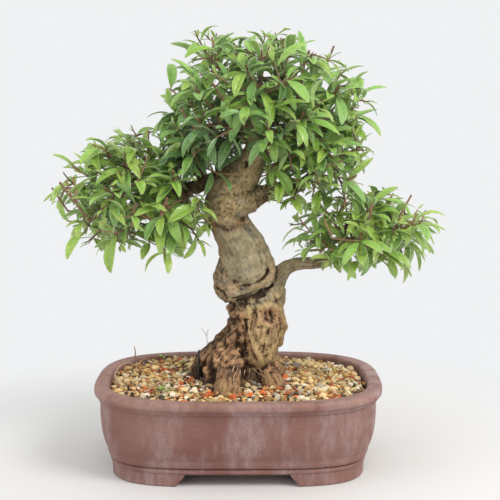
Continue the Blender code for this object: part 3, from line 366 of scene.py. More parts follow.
# How deep in a pad its extra and its inner shoots end, as shares of the pad's size
MORE_SHOOTS = {"extra": (0.42, 0.93), "inner": (0.2, 0.6)}
SHORTEST_SHOOT = 6
GOLDEN_TURN = 2.39996
GAP = 0.3

# Leaves
LEAF_LENGTH = (21, 38)
LEAF_SLENDERNESS = 0.28
MAIN_LEAF_LENGTH = (27, 40)
MAIN_LEAF_SLENDERNESS = 0.3
MAIN_LEAF_TRIM = 0.94
MAIN_LEAF_PLACES = (0.45, 0.72, 0.96)
MAIN_LEAF_DROOP = (0.35, 0.95)
YOUNG_LENGTH = (8, 15)
LEAF_THICKNESS = 0.45
# A blade's rows from base to tip, and its points across: edge, half, rib, half, edge and underside
LEAF_ROWS = np.array([0.0, 0.07, 0.16, 0.3, 0.46, 0.62, 0.77, 0.9, 0.97])
LEAF_ACROSS = np.array([-1, -0.5, 0, 0.5, 1, 0])
# Leaves that would start downwards are turned towards level by this factor
LEAVES_LEVEL = 0.4
# How far beyond a pad's skin the leaves of its even shoots and of its fills may reach
PAD_ROOM = 1.1
FILL_ROOM = 1.4
# Pruned stubs that stand out of a spray: how many, how long, and their thickness at both ends
STUBS = 3
STUB_LENGTH = (9, 19)
STUB_THICKNESS = (1.35, 1.05)
# Stout twigs of each spray, pruned back and seen among the leaves: where they begin and end, and how thick
PRUNED = {
    "left_front": [((-134, -43, 233), (-161, -43, 269), 1.6), ((-150, -43, 255), (-155, -44, 271), 1.1),
                   ((-145, -43, 249), (-148, -46, 274), 1.2), ((-99, -45, 246), (-114, -47, 267), 1.4),
                   ((-72, -48, 233), (-63, -52, 256), 1.7)],
    "left_top": [((-84, -10, 290), (-83, -12, 315), 1.2), ((-112, -20, 272), (-118, -24, 294), 1.2)],
    "left_tip": [((-160, -10, 240), (-174, -12, 262), 1.3)],
    "left_back": [((-100, 40, 268), (-104, 46, 292), 1.3)],
    "crown_front": [((-8, -52, 335), (-22, -58, 357), 1.6), ((17, -56, 313), (21, -60, 329), 1.3)],
    "crown_top": [((21, -20, 362), (30, -22, 398), 1.4)],
    "crown_right_front": [((58, -30, 361), (61, -32, 381), 1.3), ((78, -48, 283), (95, -50, 289), 1.2)],
    "crown_left_front": [((-40, -30, 318), (-52, -36, 336), 1.3)],
    "crown_top_right": [((80, -12, 372), (88, -14, 392), 1.3)],
    "crown_top_left": [((-18, -10, 378), (-24, -12, 400), 1.3)],
    "crown_back": [((20, 62, 350), (24, 70, 374), 1.4)],
    "right_front": [((118, -40, 228), (122, -44, 250), 1.4), ((86, -42, 218), (78, -48, 236), 1.2)],
    "right_tip": [((150, -20, 236), (160, -24, 256), 1.3)],
    "right_back": [((110, 34, 236), (112, 40, 258), 1.3)],
}
# More shoots where the photograph is dense: spray, middle, reach each way, count
FILLS = [
    ("left_top", (-118, 2, 291), (20, 34, 11), 12), ("left_top", (-88, 6, 301), (24, 34, 13), 14),
    ("left_tip", (-164, 0, 257), (12, 18, 6), 4), ("left_tip", (-146, -6, 208), (12, 20, 6), 2),
    ("crown_right_back", (27, 24, 277), (6, 6, 9), 6), ("crown_right_front", (34, -14, 277), (8, 6, 8), 4),
    ("crown_back", (-14, 32, 302), (20, 9, 22), 9), ("left_upper_back", (-6, 26, 290), (8, 7, 10), 6),
    ("crown_left_front", (-68, 0, 352), (7, 12, 6), 3), ("left_front", (-108, -10, 212), (10, 14, 6), 4),
    ("left_inner", (-36, -26, 220), (7, 8, 8), 3), ("right_front", (100, -8, 208), (10, 14, 6), 4),
    ("right_front", (74, -4, 208), (8, 12, 6), 3), ("left_upper_back", (-52, 22, 296), (16, 26, 14), 9),
    ("left_upper_front", (-44, -4, 296), (18, 22, 12), 7), ("left_inner", (-28, -34, 240), (8, 8, 14), 5),
    ("left_front", (-66, -24, 206), (10, 12, 5), 2), ("crown_top", (30, 0, 403), (12, 12, 4), 4),
    ("crown_top_left", (-32, 0, 393), (12, 20, 8), 4), ("crown_top_left", (-43, 0, 362), (12, 34, 22), 9),
    ("crown_left_front", (-50, -14, 334), (14, 30, 16), 8),
    ("crown_right", (108, 0, 340), (10, 34, 18), 12),
    ("crown_right_front", (44, -24, 282), (16, 12, 12), 7),
    ("shoulder_front", (43, -16, 255), (15, 13, 11), 11), ("right_front", (60, -10, 228), (8, 12, 8), 3),
    ("right_front", (88, -14, 197), (12, 16, 4), 3), ("shoulder_front", (38, -12, 276), (8, 10, 12), 6),
    ("right_tip", (168, -4, 222), (10, 24, 10), 3),
]
# Where the wood shows bare in front: from and to across, from and to in height, and the share of leaves left
BARE_VIEWS = [
    (-53, -6, 250, 282, 0.12), (-24, 30, 222, 268, 0.0), (-2, 25, 262, 290, 0.1), (10, 47, 190, 238, 0.0),
    (-180, -128, 188, 226, 0.4), (-34, 2, 282, 316, 0.45), (-82, -68, 286, 306, 0.3),
    (140, 192, 234, 262, 0.35), (128, 160, 180, 206, 0.5), (64, 102, 248, 264, 0.45),
    (-172, -146, 268, 286, 0.3), (-74, -50, 350, 376, 0.25), (62, 102, 382, 400, 0.45),
    (84, 118, 262, 277, 0.3), (-84, -46, 386, 410, 0.4),
]
# Only leaves that grow in front of this depth make way there
BARE_BEFORE = 16
# No extra shoot ends where no more leaves than this share are left
BARE_SHOOTS = 0.2
# A leaf's tone runs from deep green at 0 to yellow at 1: its brightest green, and what inner leaves lose
BRIGHTEST = 0.93
INNER_SHADE = 0.45
# Where the leaves lie in deep shade as seen from the front: middle across and up, reach, and the tone lost
SHADES = [
    (-14, 304, 28, 0.65), (-34, 286, 22, 0.6), (-50, 350, 12, 0.2), (84, 214, 16, 0.3),
    (-92, 226, 14, 0.25),
]
# The few yellow leaves: where they grow as seen from the front, within what reach, and the longest of them
YELLOW_SPOTS = [(-80, 305), (150, 221), (-12, 380)]
YELLOW_REACH = 5
YELLOW_LENGTH = 24
LEAF_FACE = [
    (0.0, (0.12, 0.25, 0.085, 1)), (0.12, (0.21, 0.41, 0.11, 1)), (0.3, (0.28, 0.5, 0.09, 1)),
    (0.6, (0.285, 0.475, 0.06, 1)), (0.94, (0.34, 0.465, 0.07, 1)), (1.0, (0.7, 0.56, 0.08, 1)),
]
LEAF_UNDERSIDE = [(0.0, (0.15, 0.24, 0.1, 1)), (0.5, (0.29, 0.43, 0.13, 1)), (1.0, (0.47, 0.6, 0.17, 1))]


# Mesh helpers


def clamp(value, low=0, high=1):
    return min(max(value, low), high)


def placed(points):
    """Points in millimetres about the pot's centre line, as the frame's metres in one row."""
    return (np.asarray(points, float) * MM + np.array(SHIFT)).astype(np.float32).ravel()


def piece(name, verts, faces, materials=(), face_materials=None):
    """A smooth mesh; every face has as many corners as the rest."""
    mesh = bpy.data.meshes.new(name)
    faces = np.asarray(faces, np.int32)
    count, corners = faces.shape
    mesh.vertices.add(len(verts))
    mesh.vertices.foreach_set("co", placed(verts))
    mesh.loops.add(count * corners)
    mesh.loops.foreach_set("vertex_index", faces.ravel())
    mesh.polygons.add(count)
    mesh.polygons.foreach_set("loop_start", np.arange(count, dtype=np.int32) * corners)
    for material in materials:
        mesh.materials.append(material)
    if face_materials is not None:
        mesh.polygons.foreach_set("material_index", np.asarray(face_materials, np.int32))
    mesh.polygons.foreach_set("use_smooth", np.full(count, True))
    mesh.update(calc_edges=True)
    mesh.validate()
    obj = bpy.data.objects.new(name, mesh)
    bpy.context.scene.collection.objects.link(obj)
    return obj


def dress(obj, material):
    obj.data.materials.clear()
    obj.data.materials.append(material)


def attribute(obj, name, values, kind="FLOAT_VECTOR", field="vector"):
    """Numbers at each point, which the material reads by their name."""
    made = obj.data.attributes.new(name, kind, "POINT")
    made.data.foreach_set(field, np.asarray(values, np.float32).ravel())


def modify(obj, kind, **settings):
    made = obj.modifiers.new(kind.lower(), kind)
    for key, value in settings.items():
        setattr(made, key, value)


def bake(obj):
    """Applies an object's modifiers."""
    bpy.context.view_layer.update()
    graph = bpy.context.evaluated_depsgraph_get()
    mesh = bpy.data.meshes.new_from_object(obj.evaluated_get(graph))
    obj.modifiers.clear()
    obj.data = mesh


def numbers_of(items, field, width=3, kind=np.float32):
    """A field of all the items, one row each."""
    flat = np.empty(len(items) * width, kind)
    items.foreach_get(field, flat)
    return flat.reshape(-1, width)


def points_of(obj):
    """The mesh's points in millimetres about the pot's centre line."""
    return (numbers_of(obj.data.vertices, "co").astype(float) - np.array(SHIFT)) / MM


def skin_of(obj):
    """The object's faces as a tree that finds what is near or in view."""
    faces = [tuple(face.vertices) for face in obj.data.polygons]
    return BVHTree.FromPolygons([Vector(point) for point in points_of(obj)], faces)


def smooth_path(points, step):
    """Samples a smooth curve through (x, y, z, radius) points about every step."""
    rows = [Vector(p) for p in points]
    rows = [2 * rows[0] - rows[1], *rows, 2 * rows[-1] - rows[-2]]
    path = []
    for before, start, end, after in zip(rows, rows[1:], rows[2:], rows[3:]):
        count = max(1, round((end.xyz - start.xyz).length / step))
        for k in range(count):
            t = k / count
            path.append(0.5 * ((2 * start) + (end - before) * t
                               + (2 * before - 5 * start + 4 * end - after) * t * t
                               + (3 * start - before - 3 * end + after) * t ** 3))
    path.append(rows[-2])
    return path


def bend(start, middle, end, count):
    """Points along a quadratic curve."""
    shares = [k / count for k in range(count + 1)]
    return [start * (1 - t) ** 2 + middle * 2 * t * (1 - t) + end * t * t for t in shares]


def bowed(start, end, bow, count):
    """Points along a curve that bows upwards by a share of its length."""
    middle = (start + end) / 2 + Vector((0, 0, bow * (end - start).length))
    return bend(start, middle, end, count)


class Tubes:
    """Gathers closed tubes along paths as one list of points and triangles."""

    def __init__(self):
        self.verts, self.faces, self.along = [], [], []

    def add(self, path, radii, sides, tone=0.5, end_tone=None):
        first = len(self.verts)
        count = len(path)
        side = None
        for k, (spot, radius) in enumerate(zip(path, radii)):
            way = (path[min(k + 1, count - 1)] - path[max(k - 1, 0)]).normalized()
            if side is None:
                side = way.orthogonal().normalized()
            side = (side - way * side.dot(way)).normalized()
            other = way.cross(side)
            for j in range(sides):
                turn = 2 * math.pi * j / sides
                self.verts.append(spot + (side * math.cos(turn) + other * math.sin(turn)) * radius)
                self.along.append((j / sides, k / (count - 1), tone))
        self.verts += [path[0], path[-1]]
        self.along += [(0, 0, tone), (0, 1, tone if end_tone is None else end_tone)]
        last, start_cap = first + (count - 1) * sides, first + count * sides
        for k in range(count - 1):
            for j in range(sides):
                a, b = first + k * sides + j, first + k * sides + (j + 1) % sides
                self.faces += [(a, b, b + sides), (a, b + sides, a + sides)]
        for j in range(sides):
            onward = (j + 1) % sides
            self.faces += [(start_cap, first + onward, first + j), (start_cap + 1, last + j, last + onward)]


# Materials


class Shader:
    """A small helper that chains shader nodes."""

    def __init__(self, name, roughness, specular=0.5):
        self.material = bpy.data.materials.new(name)
        self.material.use_nodes = True
        self.tree = self.material.node_tree
        self.bsdf = self.tree.nodes["Principled BSDF"]
        self.put(self.bsdf, {"Roughness": roughness, "Specular IOR Level": specular})
        self.place = self.node("ShaderNodeTexCoord").outputs["Object"]

    def put(self, node, inputs):
        """Links or sets a node's inputs, given by name or number."""
        for key, value in dict(inputs).items():
            if isinstance(value, bpy.types.NodeSocket):
                self.tree.links.new(value, node.inputs[key])
            else:
                node.inputs[key].default_value = value
        return node

    def node(self, kind, inputs=(), **settings):
        made = self.tree.nodes.new(kind)
        for key, value in settings.items():
            setattr(made, key, value)
        return self.put(made, inputs)

    def stretched(self, scale, place=None):
        """The place with each axis scaled."""
        inputs = {"Vector": place or self.place, "Scale": scale}
        return self.node("ShaderNodeMapping", inputs).outputs["Vector"]

    def noise(self, size, detail=3.0, roughness=0.55, place=None):
        """Noise of about 0 to 1 whose blotches measure size in millimetres."""
        inputs = {"Vector": place or self.place, "Scale": 1 / (size * MM), "Detail": detail,
                  "Roughness": roughness}
        return self.node("ShaderNodeTexNoise", inputs).outputs["Fac"]

    def cells(self, size):
        """The distance from the nearest of scattered spots that lie about size millimetres apart."""
        inputs = {"Vector": self.place, "Scale": 1 / (size * MM)}
        return self.node("ShaderNodeTexVoronoi", inputs).outputs["Distance"]

    def step(self, value, low, high, out_low=0.0, out_high=1.0):
        """Maps low..high smoothly onto out_low..out_high."""
        inputs = {"Value": value, "From Min": low, "From Max": high, "To Min": out_low, "To Max": out_high}
        return self.node("ShaderNodeMapRange", inputs, interpolation_type="SMOOTHSTEP").outputs["Result"]

    def math(self, operation, *values):
        return self.node("ShaderNodeMath", enumerate(values), operation=operation).outputs[0]

    def times(self, first, second):
        return self.math("MULTIPLY", first, second)

    def mix(self, share, first, second, blend="MIX"):
        inputs = {0: share, 6: first, 7: second}
        return self.node("ShaderNodeMix", inputs, data_type="RGBA", blend_type=blend).outputs[2]

    def ramp(self, value, stops):
        made = self.node("ShaderNodeValToRGB", {"Fac": value})
        elements = made.color_ramp.elements
        while len(elements) < len(stops):
            elements.new(0.5)
        for element, (place, colour) in zip(elements, stops):
            element.position = place
            element.color = colour
        return made.outputs["Color"]

    def read(self, name, output="Vector"):
        """An attribute of the mesh."""
        return self.node("ShaderNodeAttribute", attribute_name=name).outputs[output]

    def split(self, vector):
        return self.node("ShaderNodeSeparateXYZ", {0: vector}).outputs[:3]

    def bump(self, height, distance):
        return self.node("ShaderNodeBump", {"Height": height, "Distance": distance * MM}).outputs["Normal"]

    def finish(self, colour, normal=None, roughness=None):
        inputs = {"Base Color": colour, "Normal": normal, "Roughness": roughness}
        self.put(self.bsdf, {key: value for key, value in inputs.items() if value})
        return self.material


def clay_material():
    s = Shader("unglazed_clay", 0.7, 0.35)
    streak_place = s.stretched((1.0, 1.0, 0.28))
    bloom = s.step(s.noise(30, 4, 0.6, streak_place), 0.44, 0.62)
    streaks = s.noise(5, 3, 0.6, streak_place)
    warm = s.mix(s.step(s.noise(60, 3), 0.35, 0.7), (0.2, 0.085, 0.069, 1), (0.25, 0.125, 0.098, 1))
    colour = s.mix(s.times(bloom, s.step(streaks, 0.3, 0.7, 0.25, 0.8)), warm, (0.36, 0.25, 0.24, 1))
    colour = s.mix(s.step(s.noise(2.2, 2), 0.35, 0.75, 0.0, 0.28), colour, (0.14, 0.068, 0.06, 1))
    across, _, height = s.split(s.place)
    # Lighter towards the top of the rim: painted light falling from above.
    painted_rim_light = s.times(s.step(height, 0.07, 0.079, 0.0, 0.4), s.step(s.noise(9, 4), 0.3, 0.6))
    colour = s.mix(painted_rim_light, colour, (0.42, 0.25, 0.19, 1))
    # Whiter towards the right end: a salt bloom, and painted light from the lamp on that side.
    salt_and_light_at_right_end = s.times(s.step(across, 0.1, 0.13, 0.0, 0.4), s.step(s.noise(14, 4), 0.35, 0.6))
    colour = s.mix(salt_and_light_at_right_end, colour, (0.5, 0.4, 0.4, 1))
    specks = s.step(s.cells(9.0), 0.04, 0.08, 0.4, 0.0)
    colour = s.mix(specks, colour, (0.5, 0.36, 0.3, 1))
    ripples = s.times(s.noise(4, 3, 0.6, s.stretched((1, 1, 3.5))), 1.2)
    relief = s.math("ADD", s.noise(0.9, 3), ripples)
    return s.finish(colour, s.bump(relief, 0.22), s.step(bloom, 0, 1, 0.62, 0.82))


def bark_material():
    """Bark numbers: how dark (painted shade included), rusty and grey-green it is. Wood numbers: how pale,
    how much painted highlight its crest takes, and how rough.
    """
    s = Shader("bark", 0.8, 0.25)
    dark, rust, green = s.split(s.read("bark"))
    pale, crest, rough = s.split(s.read("wood"))
    lane = s.stretched((1, 1, 0.16), s.read("lane"))
    streak = s.noise(1.5, 3, 0.6, lane)
    patch = s.noise(9, 4, 0.6)
    tan = s.mix(s.step(patch, 0.35, 0.65), (0.25, 0.155, 0.075, 1), (0.43, 0.3, 0.15, 1))
    grey_green = s.mix(s.step(patch, 0.35, 0.62), (0.26, 0.23, 0.14, 1), (0.47, 0.41, 0.255, 1))
    colour = s.mix(green, tan, grey_green)
    rusty = s.times(rust, s.step(s.noise(6, 3, 0.6), 0.3, 0.6, 0.6, 1.0))
    flesh = s.mix(s.step(s.noise(5, 4, 0.65), 0.43, 0.55), (0.1, 0.04, 0.026, 1), (0.5, 0.26, 0.125, 1))
    flesh = s.mix(s.step(rough, 0.2, 0.7), (0.32, 0.18, 0.085, 1), flesh)
    colour = s.mix(rusty, colour, flesh)
    bleached = s.times(pale, s.step(s.noise(4, 3, 0.6), 0.3, 0.6, 0.35, 0.9))
    ivory = s.mix(rust, (0.62, 0.49, 0.2, 1), (0.66, 0.4, 0.21, 1))
    colour = s.mix(bleached, colour, ivory)
    ochre = s.step(s.noise(5, 3, 0.6, lane), 0.52, 0.68, 0.0, 0.28)
    colour = s.mix(ochre, colour, (0.42, 0.3, 0.13, 1))
    lichen = s.times(s.step(s.noise(13, 3), 0.55, 0.66, 0.0, 0.5), green)
    colour = s.mix(lichen, colour, (0.27, 0.285, 0.235, 1))
    colour = s.mix(s.step(streak, 0.5, 0.7, 0.0, 0.4), colour, (0.5, 0.5, 0.5, 1), "MULTIPLY")
    crust = s.times(s.step(s.noise(3.4, 5, 0.75), 0.5, 0.66), rough)
    colour = s.mix(s.times(crust, 0.5), colour, (0.42, 0.36, 0.33, 1), "MULTIPLY")
    glint = s.times(s.step(s.noise(2.4, 4, 0.7, s.stretched((1.3, 1.1, 0.9))), 0.55, 0.7), rough)
    lit = s.mix(rust, (0.54, 0.45, 0.27, 1), (0.6, 0.38, 0.22, 1))
    colour = s.mix(s.times(glint, 0.45), colour, lit)
    # Lighter on the crests of the bark: a painted highlight.
    crest_highlight = s.mix(rust, (0.6, 0.48, 0.29, 1), (0.74, 0.46, 0.26, 1))
    colour = s.mix(s.times(crest, s.step(rust, 0.2, 0.9, 0.2, 0.34)), colour, crest_highlight)
    # The dark number turns the bark near black; it carries painted shade of the hollows and lines as well as
    # dark bark.
    colour = s.mix(s.step(dark, 0.0, 1.0, 0.0, 0.93), colour, (0.03, 0.015, 0.009, 1))
    fine = s.math("ADD", s.noise(1.6, 3), s.noise(0.7, 2))
    relief = s.math("ADD", s.times(streak, 1.4), fine)
    relief = s.math("ADD", relief, s.times(crust, -0.8))
    return s.finish(colour, s.bump(relief, 0.65), s.step(patch, 0.3, 0.7, 0.7, 0.88))


def leaf_material(name, stops, roughness, rib_strength):
    """Blade numbers: x runs across from edge to edge, y from base to tip, z is the leaf's own tone."""
    s = Shader(name, roughness, 0.6)
    s.put(s.bsdf, {"Subsurface Weight": 0.8, "Subsurface Radius": (1, 1, 1), "Subsurface Scale": 2 * MM})
    across, along, tone = s.split(s.read("blade"))
    wide = s.math("ABSOLUTE", across)
    blotch = s.noise(5, 3)
    colour = s.mix(s.step(blotch, 0.4, 0.7, 0.0, 0.4), s.ramp(tone, stops), (0.17, 0.34, 0.07, 1))
    colour = s.mix(s.step(s.noise(3.5, 3), 0.52, 0.7, 0.0, 0.28), colour, (0.44, 0.61, 0.13, 1))
    slant = s.math("SUBTRACT", s.times(along, 9.0), s.times(wide, 2.2))
    vein = s.math("PINGPONG", slant, 0.5)
    colour = s.mix(s.step(vein, 0.0, 0.11, 0.3, 0.0), colour, (0.27, 0.4, 0.12, 1))
    colour = s.mix(s.step(wide, 0.03, 0.13, rib_strength, 0.0), colour, (0.42, 0.53, 0.22, 1))
    colour = s.mix(s.step(along, 0.0, 0.1, 0.75, 0.0), colour, (0.33, 0.27, 0.1, 1))
    relief = s.math("ADD", s.step(vein, 0.0, 0.2), s.step(wide, 0.0, 0.12))
    dull = s.step(blotch, 0.3, 0.7, roughness - 0.06, roughness + 0.08)
    return s.finish(colour, s.bump(relief, 0.22), dull)


def twig_material():
    s = Shader("young_wood", 0.6, 0.35)
    colour = s.ramp(s.split(s.read("blade"))[2], [
        (0.0, (0.1, 0.07, 0.05, 1)), (0.5, (0.18, 0.105, 0.065, 1)), (0.85, (0.4, 0.22, 0.12, 1)),
        (1.0, (0.75, 0.55, 0.33, 1))])
    colour = s.mix(s.step(s.noise(2, 3), 0.35, 0.7, 0.0, 0.5), colour, (0.09, 0.055, 0.035, 1))
    return s.finish(colour, s.bump(s.noise(0.8, 2), 0.15))


def grain_material():
    """Each grain has its own colour."""
    s = Shader("gravel_grains", 0.85, 0.3)
    own = s.read("grain", "Color")
    colour = s.mix(s.step(s.noise(2.2, 4, 0.65), 0.35, 0.7, 0.0, 0.34), own, (0.36, 0.22, 0.1, 1))
    colour = s.mix(s.step(s.noise(0.8, 3), 0.5, 0.75, 0.0, 0.32), colour, (0.85, 0.74, 0.53, 1))
    return s.finish(colour, s.bump(s.noise(0.6, 3), 0.3), s.step(s.noise(1.5, 2), 0.3, 0.7, 0.75, 0.95))


def bed_material():
    s = Shader("fine_soil", 0.95, 0.2)
    colour = s.mix(s.step(s.noise(2.5, 4, 0.7), 0.35, 0.65), (0.03, 0.02, 0.013, 1), (0.12, 0.075, 0.04, 1))
    return s.finish(colour, s.bump(s.noise(1.2, 4, 0.7), 0.8))


def plain_material(name, first, second, size, roughness, bump):
    s = Shader(name, roughness, 0.4)
    colour = s.mix(s.step(s.noise(size, 3), 0.35, 0.65), first, second)
    return s.finish(colour, s.bump(s.noise(size * 0.4, 2), bump))


# Pot


def ring(inset, height, sides):
    """The pot's plan at an inset from the rim's outline, from +X round through +Y."""
    share = clamp((height - FOOT_BAND_TOP) / (RIM_TOP - FOOT_BAND_TOP))
    squareness = FOOT_SQUARENESS + (RIM_SQUARENESS - FOOT_SQUARENESS) * share
    turn = 2 * np.pi * (np.arange(sides) + 0.5) / sides
    c, s = np.cos(turn), np.sin(turn)
    reach = (np.abs(c) ** squareness + np.abs(s) ** squareness) ** (-1 / squareness)
    length, depth = RIM_HALF_LENGTH - inset, RIM_HALF_DEPTH - inset
    return np.column_stack([length * reach * c, depth * reach * s, np.full(sides, float(height))])


def eased(rows):
    """The profile with each corner replaced by a short curve of about the radius given."""
    points = [Vector(row[:2]) for row in rows]
    made = [points[0]]
    for before, corner, after, row in zip(points, points[1:], points[2:], rows[1:]):
        back, on = before - corner, after - corner
        reach = min(row[2], 0.48 * back.length, 0.48 * on.length)
        start, end = corner + back.normalized() * reach, corner + on.normalized() * reach
        made += bend(start, corner, end, 4)
    return [*made, points[-1]]


def loft(rings):
    """Points and triangles of a closed skin over rings of equal count, with a fan at both ends."""
    count, sides = len(rings), len(rings[0])
    verts = np.concatenate([*rings, rings[0].mean(0)[None], rings[-1].mean(0)[None]])
    around = np.arange(sides)
    onward = (around + 1) % sides
    faces = []
    for k in range(count - 1):
        a, b = k * sides + around, k * sides + onward
        faces += [np.stack([a, b + sides, b], 1), np.stack([a, a + sides, b + sides], 1)]
    last = (count - 1) * sides
    faces.append(np.stack([np.full(sides, count * sides), around, onward], 1))
    faces.append(np.stack([np.full(sides, count * sides + 1), last + onward, last + around], 1))
    return verts, np.concatenate(faces)


def cutout(half_width, along_y, near, far):
    """A prism that opens the wall between two feet; its ends swing out low down and in near the top."""
    low = half_width + CUTOUT_SLOPE
    half = [(low, -2.0)]
    for k in range(9):
        t = k / 8
        swing = 0.5 - 0.5 * math.cos(math.pi * t)
        half.append((low - CUTOUT_SLOPE * (0.35 * t + 0.65 * swing), CUTOUT_TOP * t))
    shape = half + [(-x, z) for x, z in reversed(half)]
    rings = [[(x, depth, z) if along_y else (depth, x, z) for x, z in shape] for depth in (near, far)]
    return piece("cutter", *loft(np.array(rings)))


def drain_cutter(x):
    turns = 2 * np.pi * np.arange(32) / 32
    circle = [(x + DRAIN_HOLE_RADIUS * math.cos(a), DRAIN_HOLE_RADIUS * math.sin(a)) for a in turns]
    return piece("cutter", *loft(np.array([[(*spot, z) for spot in circle] for z in (5.0, 25.0)])))


def fix_normals(obj):
    bm = bmesh.new()
    bm.from_mesh(obj.data)
    bmesh.ops.recalc_face_normals(bm, faces=bm.faces)
    bm.to_mesh(obj.data)
    bm.free()


def cut(obj, cutters):
    pool = bpy.data.collections.new("cutters")
    bpy.context.scene.collection.children.link(pool)
    for cutter in cutters:
        fix_normals(cutter)
        pool.objects.link(cutter)
    modify(obj, "BOOLEAN", operation="DIFFERENCE", operand_type="COLLECTION", collection=pool,
           solver="MANIFOLD")
    bake(obj)
    for cutter in cutters:
        bpy.data.objects.remove(cutter, do_unlink=True)
    bpy.data.collections.remove(pool)


def make_pot(material):
    verts, faces = loft([ring(inset, height, POT_SIDES) for inset, height in eased(POT_PROFILE)])
    for k, point in enumerate(verts):
        if 1 < point[2] < RIM_TOP - 1:
            spot = Vector(point)
            swell = 0.28 * noise.noise(spot / 30) + 0.12 * noise.noise(spot / 7)
            out = Vector((point[0], point[1], 0)).normalized()
            verts[k] = spot - out * (0.3 + swell)
    pot = piece("clay_pot", verts, faces, [material])
    fix_normals(pot)
    cutters = []
    for sign in (-1, 1):
        for half_width, along_y, wall in ((CUTOUT_HALF_FRONT, True, RIM_HALF_DEPTH),
                                          (CUTOUT_HALF_SIDE, False, RIM_HALF_LENGTH)):
            near, far = sorted((sign * (wall - CUTOUT_FROM), sign * (wall - CUTOUT_TO)))
            cutters.append(cutout(half_width, along_y, near, far))
        cutters.append(drain_cutter(sign * DRAIN_HOLE_X))
    cut(pot, cutters)
    modify(pot, "BEVEL", width=WORN_EDGE * MM, segments=2, limit_method="ANGLE", angle_limit=math.radians(50),
           use_clamp_overlap=True)
    bake(pot)
    dress(pot, material)
    pot.data.shade_smooth()
    pot.data.set_sharp_from_angle(angle=math.radians(40))
    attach(pot, "root")
    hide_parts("pot")


# Trunk


def coarse_relief(spot):
    """How far the bark stands out of the strands, in millimetres: the same rule as the solids'."""
    rise = BUMP_HEIGHT * noise.noise(spot / BUMP_SIZE)
    rough = clamp((SMOOTH_WOOD_FROM - spot.z) / 40)
    rise += rough * KNOBBLE_HEIGHT * noise.noise(spot / (0.8 * BUMP_SIZE) + Vector((7, 3, 5)))
    for x, y, z, radius, depth in DENTS:
        distance = (spot - Vector((x, y, z))).length
        if distance < 2.5 * radius:
            rise -= depth * math.exp(-((distance / radius) ** 2))
    return rise


class Grain:
    """Knows, near any point, which strand runs there, in which direction and how far along."""

    def __init__(self):
        self.samples = []
        for number, (name, points) in enumerate(STRANDS.items()):
            path = smooth_path(points, 3)
            side, travelled = None, 0.0
            for k, row in enumerate(path):
                way = (path[min(k + 1, len(path) - 1)].xyz - path[max(k - 1, 0)].xyz).normalized()
                side = side or way.orthogonal().normalized()
                side = (side - way * side.dot(way)).normalized()
                if k:
                    travelled += (row.xyz - path[k - 1].xyz).length
                self.samples.append((name, number, row.xyz, way, side, travelled, row.w))
        self.tree = KDTree(len(self.samples))
        for k, sample in enumerate(self.samples):
            self.tree.insert(sample[2], k)
        self.tree.balance()

    def at(self, spot):
        near = self.tree.find_n(spot, 10)
        return self.samples[min(near, key=lambda found: found[2] - self.samples[found[1]][6])[1]]


def fibre_relief(spot, grain):
    """Ridges that run along the strand, their creases, and the place measured along the strand."""
    name, number, centre, way, side, travelled, _ = grain.at(spot)
    away = spot - centre
    along = travelled + away.dot(way)
    a, b = away.dot(side), away.dot(way.cross(side))
    ridge = STRAND_RIDGE.get(name, GRAIN_RIDGE)
    in_branch = name in SIDE_BRANCHES and BRANCHES_BEGIN[0] < spot.x < BRANCHES_BEGIN[1]
    if spot.z > UPPER_WOOD_FROM and (name in UPPER_WOOD or in_branch):
        along, b = spot.dot(UPPER_GRAIN), spot.y
        a = spot.dot(UPPER_GRAIN.cross(Vector((0, 1, 0))))
    lane = Vector((a / 2.1, b / 2.1, along / 15 + 9 * number))
    broad = noise.noise(lane)
    thin = noise.noise(lane * 2.3 + Vector((3, 1, 4)))
    crease = 1 - min(1.0, abs(noise.noise(lane * 0.7 + Vector((11, 5, 2)))) * 7)
    rise = ridge * (1.0 * broad + 0.6 * thin - 0.9 * crease * crease)
    return rise, crease * min(1, ridge / 0.5), name, (a, b, along + 40 * number)


def gnarls(spot, name):
    """Small knobs: strong on the lower wood, slight above the fold, on the column and on the front root."""
    low = clamp((162 - spot.z) / 14)
    if name in ("front_root", "right_root"):
        low *= clamp((spot.z - 84) / 12, 0.15)
    if name in ("left_bulge", "lip"):
        low = max(low, 0.8 if name == "left_bulge" else 0.4)
    high = clamp((spot.z - 226) / 10) * (1 if spot.z < 300 else 0.5)
    if name in ("front_right", "right_knots"):
        low *= 0.55
    share = max(low, 0.55 * high, 0.3 if name == "smooth_column" else 0)
    if not share:
        return 0.0
    big = 1 - 2 * abs(noise.noise(spot / 9 + Vector((2, 8, 4))))
    small = noise.noise(spot / 3.6 + Vector((9, 1, 7)))
    crust = 1 - 2 * abs(noise.noise(spot / 2.6 + Vector((4, 6, 2))))
    return share * (1.4 * (big - 0.6) + 0.5 * small + 0.5 * (crust - 0.6))


